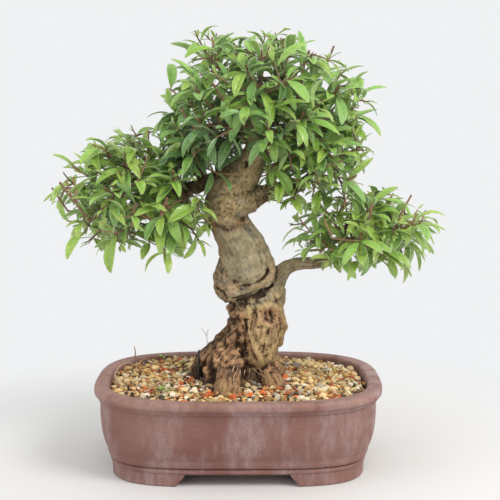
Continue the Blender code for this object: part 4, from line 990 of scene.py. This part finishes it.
def bark_tones(spot, crease, name):
    """How dark, rusty, grey-green, pale and rough the bark is at a point, before its hollows are known."""
    low = clamp((158 - spot.z) / 16)
    dark, rust, green, pale = 0.16 * crease * crease, 0.1 + 0.3 * low, 0.9 * (1 - low), 0.25 * low
    rough = max(low, 0.45)
    if name in ("front_root", "right_root"):
        dark, rust, pale = dark + 0.12 + 0.12 * crease, 1.0, 0.0
    # The left root and the wood over it are darkened as painted shade, the knees less; their rust is their
    # own.
    if name in ("left_knees", "left_root", "left_shadow"):
        dark, rust, pale = dark + (0.16 if name == "left_knees" else 0.5), 1.0, 0.0
    if name == "left_bulge":
        dark, green, rust = dark + 0.2, 0.7, 0.42
    if name in ("left_bulge", "lip"):
        rough = 1.0
    if spot.z > UPPER_WOOD_FROM:
        green, pale, rust, rough = green * 0.86, 0.36, rust + 0.1, 1.35
    # The branches are darker, and the left branch is darkened further as painted shade under the foliage.
    if name.endswith("branch"):
        dark, green = dark + (0.55 if name == "left_branch" else 0.24), 0.7
    if name in ("front_root", "right_root"):
        rough = clamp((spot.z - 82) / 10)
    return [dark, rust, green, pale, rough]


def front_point(skin, x, z):
    """The point of the bark that is seen at x and z from the front."""
    eye = Vector(CAMERA_PLACE)
    way = Vector((x, FEATURE_DEPTH, z)) - eye
    return skin.ray_cast(eye, way.normalized())[0]


def distance_to(points, line):
    """How far each point lies from a line of points."""
    line = [np.array(p) for p in line]
    if len(line) == 1:
        return np.linalg.norm(points - line[0], axis=1)
    nearest = np.full(len(points), np.inf)
    for a, b in zip(line, line[1:]):
        along = b - a
        share = np.clip(((points - a) @ along) / (along @ along), 0, 1)
        nearest = np.minimum(nearest, np.linalg.norm(points - a - share[:, None] * along, axis=1))
    return nearest


def neighbours_mean(points, edges, rounds):
    """The points, each moved half-way to the mean of its neighbours, round after round."""
    count = len(points)
    ends = np.concatenate([edges[:, 0], edges[:, 1]])
    others = np.concatenate([edges[:, 1], edges[:, 0]])
    share = np.bincount(ends, minlength=count)[:, None]
    for _ in range(rounds):
        sums = [np.bincount(ends, weights=points[others, k], minlength=count) for k in range(3)]
        points = 0.5 * points + 0.5 * np.stack(sums, 1) / share
    return points


def melted_wood(plans):
    """All strands and limbs melted into one skin."""
    tubes = Tubes()
    for points in STRANDS.values():
        path = smooth_path(points, 3)
        tubes.add([p.xyz for p in path], [p.w for p in path], 20)
    for plan in plans.values():
        shares = np.linspace(0, 1, len(plan["limb"]))
        tubes.add(plan["limb"], LIMB_RADIUS + (STUB_RADIUS - LIMB_RADIUS) * shares, 12)
    trunk = piece("bark_and_roots", tubes.verts, tubes.faces)
    modify(trunk, "REMESH", mode="VOXEL", voxel_size=BARK_VOXEL * MM)
    modify(trunk, "SMOOTH", factor=0.5, iterations=4)
    bake(trunk)
    return trunk


def bark_features():
    """Every line, knob and pit of the bark: how wide, how high, its tones, and its places."""
    knobs = [(*KNOB_LOOK, [spot]) for spot in KNOBS]
    pits = [(*PIT_LOOK, [spot]) for spot in PITS]
    return [*BARK_LINES.values(), *knobs, *pits]


def carve(trunk):
    """Gives the skin its relief, and returns the tones and the grain's lanes at each point."""
    grain, skin = Grain(), skin_of(trunk)
    points = points_of(trunk)
    normals = numbers_of(trunk.data.vertex_normals, "vector").astype(float)
    rises, tones, lanes = np.zeros(len(points)), [], []
    for k, point in enumerate(points):
        spot = Vector(point)
        fibre, crease, name, lane = fibre_relief(spot, grain)
        rises[k] = coarse_relief(spot) + fibre + gnarls(spot, name)
        tones.append(bark_tones(spot, crease, name))
        lanes.append(lane)
    tones = np.array(tones)
    for width, rise, (dark, rust, pale), places in bark_features():
        line = [spot for spot in (front_point(skin, x, z) for x, z in places) if spot]
        fall = np.exp(-(distance_to(points, line) / width) ** 2)
        rises += rise * fall
        tones[:, 0] += dark * fall ** 1.5
        tones[:, 1] += rust * fall
        tones[:, 3] += pale * fall
    points += normals * rises[:, None]
    points[:, 2] = np.maximum(points[:, 2], TRUNK_FOOT)
    trunk.data.vertices.foreach_set("co", placed(points))
    trunk.data.update()
    return points, tones, lanes


def make_trunk(plans, material):
    trunk = melted_wood(plans)
    points, tones, lanes = carve(trunk)
    edges = numbers_of(trunk.data.edges, "vertices", 2, np.int32)
    normals = numbers_of(trunk.data.vertex_normals, "vector").astype(float)
    near = neighbours_mean(points, edges, 5)
    far = neighbours_mean(near, edges, 40)
    small_hollow = ((near - points) * normals).sum(1)
    big_hollow = ((far - near) * normals).sum(1)
    # Painted shade in the hollows, weaker above the fold.
    shade = 0.75 * np.clip(small_hollow / 0.34, 0, 1) + 0.45 * np.clip(big_hollow / 1.5, 0, 1)
    tones[:, 0] += shade * np.where(points[:, 2] > UPPER_WOOD_FROM, 0.7, 1)
    # How far a point stands out of its neighbours, which the bark's material lights as a painted highlight.
    crest = np.clip(-small_hollow / 0.28, 0, 1)
    attribute(trunk, "bark", np.clip(tones[:, :3], 0, 1))
    attribute(trunk, "wood", np.column_stack([np.clip(tones[:, 3], 0, 1), crest, tones[:, 4]]))
    attribute(trunk, "lane", np.array(lanes) * MM)
    dress(trunk, material)
    trunk.data.shade_smooth()
    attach(trunk, "root")
    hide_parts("trunk")
    return trunk


# Foliage


def spread_tips(pad, count, rng, shares):
    """Evenly spread points at such shares of the pad's size, each with the spray that it belongs to."""
    facing = {name: Vector(way).normalized() for name, (home, _, way) in SPRAYS.items() if home == pad}
    centre, radii, lowest = Vector(PADS[pad]["centre"]), PADS[pad]["radii"], PADS[pad]["lowest"]
    tips = []
    for k in range(count):
        height = 0.97 - (0.97 - lowest) * (k + 0.5) / count
        turn = GOLDEN_TURN * k + rng.uniform(-0.25, 0.25)
        flat = math.sqrt(max(0, 1 - height * height))
        way = Vector((flat * math.cos(turn), flat * math.sin(turn), height))
        owner = max(facing, key=lambda name: facing[name].dot(way))
        unit = way.normalized()
        stretch = sum(abs(unit[k] / radii[k]) ** PAD_SQUARENESS for k in range(3)) ** (1 / PAD_SQUARENESS)
        tips.append((owner, centre + unit * (rng.uniform(*shares) / stretch)))
    return tips


def plan_sprays():
    """For each spray its limb, its twig and the tips of its main shoots, by the same rule as the solids'."""
    tips = {name: [] for name in SPRAYS}
    for pad in PADS:
        reach = (SHOOT_REACH * 0.86, SHOOT_REACH * 1.06)
        for owner, tip in spread_tips(pad, PADS[pad]["shoots"], random.Random(SEED + len(pad)), reach):
            tips[owner].append(tip)
    plans = {}
    for name, (pad, start, _) in SPRAYS.items():
        start, middle = Vector(start), sum(tips[name], Vector()) / len(tips[name])
        limb = bowed(start, start + (middle - start) * LIMB_SHARE, LIMB_BOW, 6)
        coarse = bowed(limb[0], limb[-1], LIMB_BOW, 2)
        way = (coarse[-1] - coarse[-2]).normalized()
        base = limb[-1] + way * GAP
        end = base + (middle - base) * TWIG_SHARE
        twig = [base, base + way * 0.45 * (end - base).length, end]
        plans[name] = {"limb": limb, "twig": twig, "tips": tips[name], "extra": [], "fill": False}
    for pad in PADS:
        rng = random.Random(f"{pad} extra shoots")
        for kind, shares in MORE_SHOOTS.items():
            for owner, tip in spread_tips(pad, PADS[pad][kind], rng, shares):
                plans[owner]["extra"].append(tip)
    rng = random.Random("fills")
    for name, middle, reach, count in FILLS:
        plans[name]["fill"] = True
        for _ in range(count):
            plans[name]["extra"].append(Vector([rng.uniform(m - r, m + r) for m, r in zip(middle, reach)]))
    for plan in plans.values():
        plan["extra"] = [tip for tip in plan["extra"] if bare_share(*tip) > BARE_SHOOTS]
    return plans


def skeleton(plan):
    """The spray's twig, its main shoots and more shoots, each grown from the nearest wood there before it."""
    a, b, c = plan["twig"]
    twig = [a.lerp(b, t / 3) for t in range(3)] + [b.lerp(c, t / 3) for t in range(4)]
    wood = [(spot, (c - a).normalized()) for spot in twig[1:]]
    main, more = [], []
    for k, tip in enumerate(plan["tips"]):
        path = bowed(b.lerp(c, 0.1 + 0.85 * ((k * 0.618) % 1)), tip, SHOOT_BOW, 6)
        main.append(path)
        wood += [(spot, (path[-1] - path[0]).normalized()) for spot in path[1:-1]]
    for tip in sorted(plan["extra"], key=lambda p: (p - a).length):
        start, heading = min(wood, key=lambda w: (w[0] - tip).length + 0.25 * (w[0] - a).length)
        reach = (tip - start).length
        if reach < SHORTEST_SHOOT:
            continue
        middle = start + (heading * 0.35 + Vector((0, 0, 0.25)) + (tip - start).normalized()) * reach * 0.4
        path = bend(start, middle, tip, max(3, round(reach / 7)))
        more.append(path)
        wood += [(spot, (path[-1] - path[0]).normalized()) for spot in path[1:-1]]
    return twig, main, more


def leaf_template():
    """Triangles of one blade: rings of left edge, left, rib, right, right edge and underside, and a tip."""
    rows = len(LEAF_ROWS)
    faces, under = [], []
    for k in range(rows - 1):
        for j in range(6):
            a, b = k * 6 + j, k * 6 + (j + 1) % 6
            faces += [(a, b, b + 6), (a, b + 6, a + 6)]
            under += [int(j >= 4)] * 2
    last, tip = (rows - 1) * 6, rows * 6
    for j in range(6):
        faces.append((last + j, last + (j + 1) % 6, tip))
        under.append(int(j >= 4))
    return np.array(faces), np.array(under)


LEAF_FACES, LEAF_UNDER = leaf_template()
LEAF_PLACES = np.column_stack([np.tile(LEAF_ACROSS, len(LEAF_ROWS)), np.repeat(LEAF_ROWS, 6)])
LEAF_PLACES = np.concatenate([LEAF_PLACES, [[0, 1]]])


def leaf_points(base, way, up, length, width, droop, fold, twist, blunt):
    """The points of one arching blade: a narrow stalk, a full middle and a blunt tip."""
    side = way.cross(up).normalized()
    face = side.cross(way).normalized()
    way, side, face = np.array(way), np.array(side), np.array(face)
    swell = np.sin(np.pi * np.clip((LEAF_ROWS - 0.03) / 0.99, 0, 1) ** blunt) ** 0.8
    half = 0.5 * width * np.maximum(swell, 0.07)
    turn = droop * (LEAF_ROWS - 0.15) * (0.6 + 0.7 * LEAF_ROWS)
    heading = np.outer(np.cos(turn), way) - np.outer(np.sin(turn), face)
    normal = np.outer(np.sin(turn), way) + np.outer(np.cos(turn), face)
    gaps = np.diff(LEAF_ROWS, prepend=0.0)[:, None] * length
    spine = np.array(base) + np.cumsum(heading * gaps, axis=0)
    roll = twist * (LEAF_ROWS - 0.3)
    across = np.cos(roll)[:, None] * side + np.sin(roll)[:, None] * normal
    lift = np.cos(roll)[:, None] * normal - np.sin(roll)[:, None] * side
    offsets = LEAF_ACROSS[None, :] * half[:, None]
    rise = fold * np.abs(offsets)
    rise[:, 1] += 0.13 * half
    rise[:, 3] += 0.13 * half
    rise[:, 5] = -LEAF_THICKNESS * (1 - 0.5 * LEAF_ROWS)
    verts = spine[:, None] + across[:, None] * offsets[..., None] + lift[:, None] * rise[..., None]
    tip = spine[-1] + heading[-1] * (1.0 - LEAF_ROWS[-1]) * length
    return np.concatenate([verts.reshape(-1, 3), tip[None]])


def leafy_piece(name, wood, blades, tones, materials):
    """Tubes and blades in one mesh, with each leaf's places and tone for its material."""
    verts = np.concatenate([np.array(wood.verts).reshape(-1, 3), *blades])
    faces = [np.array(wood.faces, int).reshape(-1, 3)]
    numbers = [np.array(wood.along, float).reshape(-1, 3)]
    for k, (blade, tone) in enumerate(zip(blades, tones)):
        faces.append(LEAF_FACES + len(wood.verts) + k * len(blade))
        numbers.append(np.column_stack([LEAF_PLACES, np.full(len(blade), tone)]))
    kinds = np.concatenate([np.full(len(wood.faces), 2), np.tile(LEAF_UNDER, len(blades))])
    made = piece(name, verts, np.concatenate(faces), materials, kinds)
    attribute(made, "blade", np.concatenate(numbers))
    return made


def frame_along(path):
    along = (path[-1] - path[-2]).normalized()
    level = along.cross(Vector((0, 0, 1))).normalized()
    return along, level, level.cross(along)


def place_on(path, share):
    """The point at a share of the way along a path."""
    at = share * (len(path) - 1)
    k = min(int(at), len(path) - 2)
    return path[k].lerp(path[k + 1], at - k)


def main_leaves(path, key):
    """The big leaves of a main shoot, by the same rule and draws as the solids'."""
    rng = random.Random(key)
    short = (path[-1] - path[0]).length < 25
    along, level, other = frame_along(path)
    first_turn = rng.uniform(0, math.pi)
    sites = []
    for row, place in enumerate(MAIN_LEAF_PLACES):
        for half in (0, 1):
            turn = first_turn + row * math.pi / 2 + half * math.pi + rng.uniform(-0.3, 0.3)
            out = level * math.cos(turn) + other * math.sin(turn)
            spread = rng.uniform(0.75, 1.15) - 0.2 * row
            way = along * math.cos(spread) + out * math.sin(spread)
            way.z -= 0.12
            sites.append((place_on(path, place) + out * 0.3, way.normalized()))
    leaves = []
    for base, way in sites:
        length = rng.uniform(*MAIN_LEAF_LENGTH) * (0.9 if short else 1) * MAIN_LEAF_TRIM
        width = length * MAIN_LEAF_SLENDERNESS * rng.uniform(0.88, 1.12)
        up = Vector((rng.uniform(-0.35, 0.35), rng.uniform(-0.35, 0.35) - 0.15, 1)) + along * 0.6
        leaves.append((base, way, up.normalized(), length, width, rng.uniform(*MAIN_LEAF_DROOP)))
    return leaves


def side_leaves(path, rng, centre):
    """The smaller leaves of a shoot, in pairs that turn from node to node, with young ones at its tip."""
    total = sum((b - a).length for a, b in zip(path, path[1:]))
    along, level, other = frame_along(path)
    outward = (path[-1] - centre).normalized()
    nodes = max(2, min(5, round(total * 0.6 / 7)))
    first_turn = rng.uniform(0, math.pi)
    vigour = rng.uniform(0.75, 1.1)
    leaves = []
    for node in range(nodes):
        spot = place_on(path, 1 - 0.66 * node / nodes)
        young = node == 0
        for half in (0, 1):
            turn = first_turn + node * math.pi / 2 + half * math.pi + rng.uniform(-0.35, 0.35)
            out = level * math.cos(turn) + other * math.sin(turn)
            spread = rng.uniform(0.35, 0.8) if young else rng.uniform(0.8, 1.3)
            way = along * math.cos(spread) + out * math.sin(spread)
            way.z += rng.uniform(-0.15, 0.35)
            if way.z < 0:
                way.z *= LEAVES_LEVEL
            up = Vector((rng.uniform(-0.5, 0.5), rng.uniform(-0.5, 0.5) - 0.1, 1.0)) + outward * 0.3
            length = rng.uniform(*(YOUNG_LENGTH if young else LEAF_LENGTH)) * vigour
            width = length * LEAF_SLENDERNESS * rng.uniform(0.78, 1.2)
            droop = rng.uniform(0.1, 0.5) if young else rng.uniform(0.3, 1.25)
            leaves.append((spot + out * 0.3, way.normalized(), up.normalized(), length, width, droop))
    return leaves


def inside_box(points, margin=0.0):
    """Whether points lie in the solids' box, at least a margin from its sides."""
    points = np.array(points)
    return (points > np.array(BOX_LOW) + margin).all() and (points < np.array(BOX_HIGH) - margin).all()


def bare_share(x, y, z):
    """The share of leaves left where the wood shows bare from the front."""
    zones = BARE_VIEWS if y < BARE_BEFORE else []
    shares = [share for left, right, low, high, share in zones if left < x < right and low < z < high]
    return min(shares, default=1.0)


def welcome(pad, points, filling, rng):
    """Whether a leaf stays in the solids' box, close to its pad's skin and off the wood that shows bare."""
    if not inside_box(points):
        return False
    if rng.random() > bare_share(*points[len(points) // 2]):
        return False
    away = np.abs((points[-1] - np.array(PADS[pad]["centre"])) / np.array(PADS[pad]["radii"]))
    return (away ** PAD_SQUARENESS).sum() < (FILL_ROOM if filling else PAD_ROOM) ** PAD_SQUARENESS


def leaf_tone(pad, base, length, tone, rng):
    """A leaf's tone: less deep in the pad and in the shade between the pads, and most where it is yellow."""
    centre, radii = PADS[pad]["centre"], PADS[pad]["radii"]
    inwards = 1 - (np.abs((np.array(base) - np.array(centre)) / np.array(radii)) ** 2).sum() ** 0.5
    losses = []
    for x, z, reach, lost in SHADES:
        losses.append(lost * math.exp(-((base.x - x) ** 2 + (base.z - z) ** 2) / reach ** 2))
    tone += 0.03 * (base.z - centre[2]) / radii[2] - max(losses)
    turned = any(math.hypot(base.x - x, base.z - z) < YELLOW_REACH for x, z in YELLOW_SPOTS)
    if turned and base.y < 0 and length < YELLOW_LENGTH:
        return rng.uniform(0.97, 1)
    return clamp(tone - INNER_SHADE * max(0.0, inwards), 0.0, BRIGHTEST)


def add_pruned(wood, name, paths):
    """The stout pruned twigs of a spray, each grown from the nearest wood, with a pale cut at its end."""
    rng = random.Random(f"{name} pruned twigs")
    grown = [spot for path in paths for spot in path]
    for start, end, thick in PRUNED.get(name, []):
        start, end = Vector(start), Vector(end)
        root = min(grown, key=lambda spot: (spot - start).length)
        path = bend(root, root.lerp(start, 0.5) + Vector((0, 0, -1)), start, 4)
        path += bend(start, (start + end) / 2, end, 3)[1:]
        radii = 0.9 * np.linspace(thick, 0.8 * thick, len(path))
        wood.add(path, radii, 8, rng.uniform(0.6, 0.85), 1.0)
        grown += path[1:]


def add_stubs(wood, name, main):
    """Stout pruned ends, with a pale cut, that stand out of the leaves."""
    rng = random.Random(f"{name} stubs")
    for path in rng.sample(main, min(STUBS, len(main))):
        start = place_on(path, rng.uniform(0.6, 0.9))
        along = (path[-1] - path[-2]).normalized()
        lean = Vector((rng.uniform(-0.3, 0.3), rng.uniform(-0.3, 0.3), rng.uniform(0.5, 1.1)))
        end = start + (along + lean).normalized() * rng.uniform(*STUB_LENGTH)
        if inside_box(end, 2):
            bowed_stub = bend(start, (start + end) / 2 + along * 1.5, end, 4)
            wood.add(bowed_stub, np.linspace(*STUB_THICKNESS, 5), 7, rng.uniform(0.6, 0.9), 1.0)


def add_shoot(wood, path, rng):
    """A shoot, which now and then ends in a bare tip."""
    bare = rng.uniform(3, 9) if rng.random() < 0.45 else 0.0
    along = (path[-1] - path[-2]).normalized()
    end = path[-1] + (along + Vector((0, 0, 0.3))).normalized() * bare
    grown = [*path, end] if bare and inside_box(end, 1) else path
    radii = np.linspace(SHOOT_RADIUS, BARE_TIP_RADIUS if bare else SHOOT_TIP_RADIUS, len(grown))
    wood.add(grown, radii, 5, rng.uniform(0.35, 0.9))


def make_spray(name, plan, materials):
    rng = random.Random(f"{name} leaves")
    pad = SPRAYS[name][0]
    centre, brightness = Vector(PADS[pad]["centre"]), PADS[pad].get("brightness", 0.0)
    twig, main, more = skeleton(plan)
    wood = Tubes()
    wood.add(twig, np.linspace(STUB_RADIUS, TWIG_TIP_RADIUS, len(twig)), 8, 0.25)
    leaves = []
    for k, path in enumerate(main):
        leaves += [(leaf, rng.uniform(0.25, 0.8)) for leaf in main_leaves(path, f"{name} shoot {k}")]
    for path in main + more:
        for k, leaf in enumerate(side_leaves(path, rng, centre)):
            leaves.append((leaf, rng.uniform(0.7, 0.95) if k < 2 else rng.uniform(0.2, 0.85) + brightness))
        add_shoot(wood, path, rng)
    add_stubs(wood, name, main)
    add_pruned(wood, name, [twig, *main])
    blades, tones = [], []
    for (base, way, up, length, width, droop), tone in leaves:
        fold, twist, blunt = rng.uniform(0.1, 0.6), rng.uniform(-0.7, 0.7), rng.uniform(0.85, 1.15)
        points = leaf_points(base, way, up, length, width, droop, fold, twist, blunt)
        if welcome(pad, points, plan["fill"], rng):
            blades.append(points)
            tones.append(leaf_tone(pad, base, length, tone, rng))
    spray = leafy_piece(f"leafy_{name}", wood, blades, tones, materials)
    spray.data.set_sharp_from_angle(angle=math.radians(70))
    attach(spray, "root")
    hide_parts(f"spray_{name}")


# Soil and gravel


def gravel_height(x, y):
    """The gravel's mean level: highest at the trunk, lowest along the wall, heaped a little at the back."""
    across = min(1.0, math.hypot(x / RIM_HALF_LENGTH, y / RIM_HALF_DEPTH))
    mound = SOIL_EDGE + SOIL_MOUND * (1 - across ** 2)
    return mound + clamp((y - 10) / 60) * (3.6 if x < 10 else 1.8)


def make_bed(material):
    rings = [ring(inset, height, BED_SIDES) for inset, height in BED_WALL]
    for inset in BED_RINGS:
        flat = ring(inset, SOIL_EDGE, BED_SIDES)
        for row in flat:
            x, y = row[:2]
            lumps = 0.9 * noise.noise(Vector((x, y, 3)) / 6) + 0.5 * noise.noise(Vector((x, y, 0)) / 2.4)
            row[2] = gravel_height(x, y) - BED_DEPTH + lumps
        rings.append(flat)
    bed = piece("soil_bed", *loft(rings), [material])
    fix_normals(bed)
    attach(bed, "root")
    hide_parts("soil")


def grain_shapes(level, count, rng):
    """Unit stones: balls pushed in and out by noise and cut by a few flat sides."""
    bm = bmesh.new()
    bmesh.ops.create_icosphere(bm, subdivisions=level, radius=1)
    ball = np.array([v.co for v in bm.verts])
    faces = np.array([[v.index for v in f.verts] for f in bm.faces])
    bm.free()
    shapes = []
    for k in range(count):
        points = ball.copy()
        for j in range(len(points)):
            points[j] *= 1 + 0.4 * noise.noise(Vector(ball[j]) * 1.5 + Vector((k * 7.1, 0, 0)))
        for _ in range(11):
            way = Vector((rng.uniform(-1, 1), rng.uniform(-1, 1), rng.uniform(-1, 1))).normalized()
            over = points @ np.array(way) - rng.uniform(0.42, 0.7)
            points -= np.outer(np.maximum(over, 0) * 0.96, np.array(way))
        shapes.append(points)
    return shapes, faces


def gravel_spots(spacing, rng):
    """A jittered lattice over the soil."""
    row_step = spacing * math.sqrt(3) / 2
    rows = int((RIM_HALF_DEPTH - SOIL_EDGE_INSET) / row_step) + 1
    columns = int((RIM_HALF_LENGTH - SOIL_EDGE_INSET) / spacing) + 1
    spots = []
    for j in range(-rows, rows + 1):
        for i in range(-columns, columns + 1):
            x = (i + 0.5 * (j % 2) + rng.uniform(-0.33, 0.33)) * spacing
            y = (j * row_step) + rng.uniform(-0.33, 0.33) * spacing
            spots.append((x, y))
    rng.shuffle(spots)
    return spots


def inside_rim(x, y, margin):
    half_length = RIM_HALF_LENGTH - SOIL_EDGE_INSET - margin
    half_depth = RIM_HALF_DEPTH - SOIL_EDGE_INSET - margin
    return abs(x / half_length) ** RIM_SQUARENESS + abs(y / half_depth) ** RIM_SQUARENESS < 1


def patch_share(x, y, patches):
    """How much a place belongs to the nearest patch, from 1 at its middle to 0 far away."""
    nearest = min(math.hypot(x - a, y - b) for a, b in patches)
    return math.exp(-(nearest / PATCH_REACH) ** 2)


def grain_kind(weights, red, dark, dark_chance, rng):
    kind = rng.choices(list(weights), list(weights.values()))[0]
    if rng.random() < 0.62 * red:
        return rng.choice(("red", "red", "brick"))
    if rng.random() < dark * dark_chance:
        return rng.choice(("slate", "black", "grey"))
    return kind


def make_gravel(trunk, material):
    """Layers of stones, each with its spacing, sizes, lift, kinds and how often a spot has a stone."""
    rng = random.Random(SEED)
    wood = skin_of(trunk)
    big, small = grain_shapes(2, 14, rng), grain_shapes(1, 10, rng)
    layers = [(big, 6.2, (1.9, 4.4), -1.4, BIG_GRAINS, 1.0), (big, 8.6, (2.0, 4.8), 1.0, BIG_GRAINS, 0.75),
              (small, 3.9, (0.8, 2.0), 1.1, SMALL_GRAINS, 0.9)]
    verts, faces, colours, total = [], [], [], 0
    for (shapes, shape_faces), spacing, sizes, lift, weights, chance in layers:
        fine = weights is SMALL_GRAINS
        for x, y in gravel_spots(spacing, rng):
            size = rng.uniform(*sizes)
            if rng.random() > chance or not inside_rim(x, y, 0.8 * size):
                continue
            red, dark = patch_share(x, y, RED_PATCHES), patch_share(x, y, DARK_PATCHES)
            if fine and rng.random() > 0.36 + 0.8 * max(red, dark):
                continue
            height = gravel_height(x, y) + lift + rng.uniform(-0.7, 0.7)
            spot, normal, _, distance = wood.find_nearest(Vector((x, y, height)))
            buried = distance < WOOD_NEAR and (Vector((x, y, height)) - spot).dot(normal) < 0
            if buried or distance < 0.45 * size:
                continue
            turn = Euler([rng.uniform(0, 2 * math.pi) for _ in range(3)]).to_matrix()
            scale = Matrix.Diagonal((rng.uniform(0.85, 1.25), rng.uniform(0.8, 1.1), rng.uniform(0.62, 0.9)))
            shape = rng.choice(shapes) @ np.array(scale @ turn).T * size
            kind = grain_kind(weights, red, dark, 0.85 if fine else 0.4, rng)
            tint = np.array(GRAIN_COLOURS[kind]) * rng.uniform(*GRAIN_TINT)
            verts.append(shape + np.array([x, y, height]))
            faces.append(shape_faces + total)
            colours.append(np.tile(tint, (len(shape), 1)))
            total += len(shape)
    gravel = piece("gravel", np.concatenate(verts), np.concatenate(faces), [material])
    gravel.data.set_sharp_from_angle(angle=math.radians(30))
    attribute(gravel, "grain", np.concatenate(colours), "FLOAT_COLOR", "color")
    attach(gravel, "root")


# What lies on the gravel


def make_rootlets(material):
    tubes = Tubes()
    for points, radius in ROOTLETS:
        rows = smooth_path([(*point, radius) for point in points], 2)
        tubes.add([row.xyz for row in rows], np.linspace(radius, 0.6 * radius, len(rows)), 7, 0.9)
    roots = piece("fine_roots", tubes.verts, tubes.faces, [material])
    attribute(roots, "blade", tubes.along)
    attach(roots, "root")


def make_fibres(trunk, material):
    """Torn bark that hangs in thin strips above the front root, down to the gravel."""
    rng = random.Random("fibres")
    skin = skin_of(trunk)
    tubes = Tubes()
    for _ in range(FIBRES):
        x, top = rng.uniform(*FIBRES_ACROSS), rng.uniform(*FIBRES_TOP)
        start = front_point(skin, x, top)
        end = front_point(skin, x + 0.35 * (x - 6) + rng.uniform(-3, 3), top - rng.uniform(4, 9))
        if not start or not end or (start - end).length > 24:
            continue
        middle = (start + end) / 2 + Vector((0, -rng.uniform(1, 3), 1))
        path = bend(start + Vector((0, 1, 0)), middle, end + Vector((0, -rng.uniform(0.2, 2.5), 0)), 6)
        tubes.add(path, np.linspace(0.75, 0.3, 7), 6, rng.choice((0.0, 0.5, 0.85, 0.95)))
    fibres = piece("torn_fibres", tubes.verts, tubes.faces, [material])
    attribute(fibres, "blade", tubes.along)
    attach(fibres, "root")


def make_weeds(materials):
    rng = random.Random("weeds")
    blades, tones = [], []
    for x, y, count, size in WEEDS:
        for k in range(count):
            turn = GOLDEN_TURN * k + rng.uniform(-0.3, 0.3)
            way = Vector((math.cos(turn), math.sin(turn), rng.uniform(0.4, 1.3))).normalized()
            base = Vector((x + rng.uniform(-1.5, 1.5), y + rng.uniform(-1.5, 1.5), gravel_height(x, y) + 1.5))
            length = size * rng.uniform(0.8, 1.3)
            blades.append(leaf_points(base, way, Vector((0, 0, 1)), length, 0.5 * length, 0.8, 0.2, 0.2, 1.0))
            tones.append(rng.uniform(0.5, 0.85))
    weeds = leafy_piece("weeds", Tubes(), blades, tones, materials)
    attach(weeds, "root")


# Stage


def make_camera():
    camera = bpy.data.objects.new("camera", bpy.data.cameras.new("camera"))
    bpy.context.scene.collection.objects.link(camera)
    camera.location = Vector(CAMERA_PLACE) * MM + SHIFT
    camera.rotation_euler = (math.radians(90 - CAMERA_PITCH), 0, 0)
    camera.data.lens = CAMERA_LENS
    camera.data.sensor_width = SENSOR_WIDTH
    bpy.context.scene.camera = camera


def make_floor():
    """A pale round floor that fades out into the light behind it."""
    bpy.ops.mesh.primitive_circle_add(vertices=96, radius=FLOOR_RADIUS, fill_type="NGON",
                                      location=(0, 0, -FLOOR_DROP))
    floor = bpy.context.object
    floor.name = "floor"
    s = Shader("pale_floor", 0.6, 0.2)
    s.finish(s.mix(s.noise(300, 2), (0.72, 0.705, 0.685, 1), (0.75, 0.74, 0.725, 1)))
    distance = s.node("ShaderNodeVectorMath", {0: s.place}, operation="LENGTH").outputs["Value"]
    clear = s.node("ShaderNodeBsdfTransparent").outputs[0]
    shares = {0: s.step(distance, *FLOOR_FADES), 1: s.bsdf.outputs[0], 2: clear}
    blend = s.node("ShaderNodeMixShader", shares)
    s.put(s.tree.nodes["Material Output"], {"Surface": blend.outputs[0]})
    floor.data.materials.append(s.material)


def make_light():
    world = bpy.data.worlds.new("studio")
    bpy.context.scene.world = world
    world.use_nodes = True
    background = world.node_tree.nodes["Background"]
    background.inputs["Color"].default_value = DAYLIGHT
    background.inputs["Strength"].default_value = DAYLIGHT_STRENGTH
    for name, place, size, power, colour in LAMPS:
        lamp = bpy.data.lights.new(name, "AREA")
        lamp.size = size
        lamp.energy = power
        lamp.color = colour
        obj = bpy.data.objects.new(name, lamp)
        bpy.context.scene.collection.objects.link(obj)
        obj.location = place
        obj.rotation_euler = (LAMPS_AIM - Vector(place)).to_track_quat("-Z", "Y").to_euler()
    bpy.context.scene.view_settings.view_transform = "Standard"


# Everything


def main():
    make_camera()
    make_floor()
    make_light()
    plans = plan_sprays()
    make_pot(clay_material())
    trunk = make_trunk(plans, bark_material())
    face = leaf_material("leaf_face", LEAF_FACE, 0.27, 0.5)
    underside = leaf_material("leaf_underside", LEAF_UNDERSIDE, 0.6, 0.7)
    twig = twig_material()
    for name, plan in plans.items():
        make_spray(name, plan, [face, underside, twig])
    make_bed(bed_material())
    make_gravel(trunk, grain_material())
    make_rootlets(twig)
    make_fibres(trunk, twig)
    make_weeds([face, underside])
    wire = plain_material("coated_wire", (0.015, 0.022, 0.022, 1), (0.04, 0.055, 0.055, 1), 3, 0.45, 0.05)
    screen = plain_material("black_mesh", (0.012, 0.012, 0.012, 1), (0.03, 0.03, 0.03, 1), 2, 0.6, 0.1)
    for node, finish in (("tie_wire", wire), ("drain_screen_left", screen), ("drain_screen_right", screen)):
        dress(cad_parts[node], finish)


main()
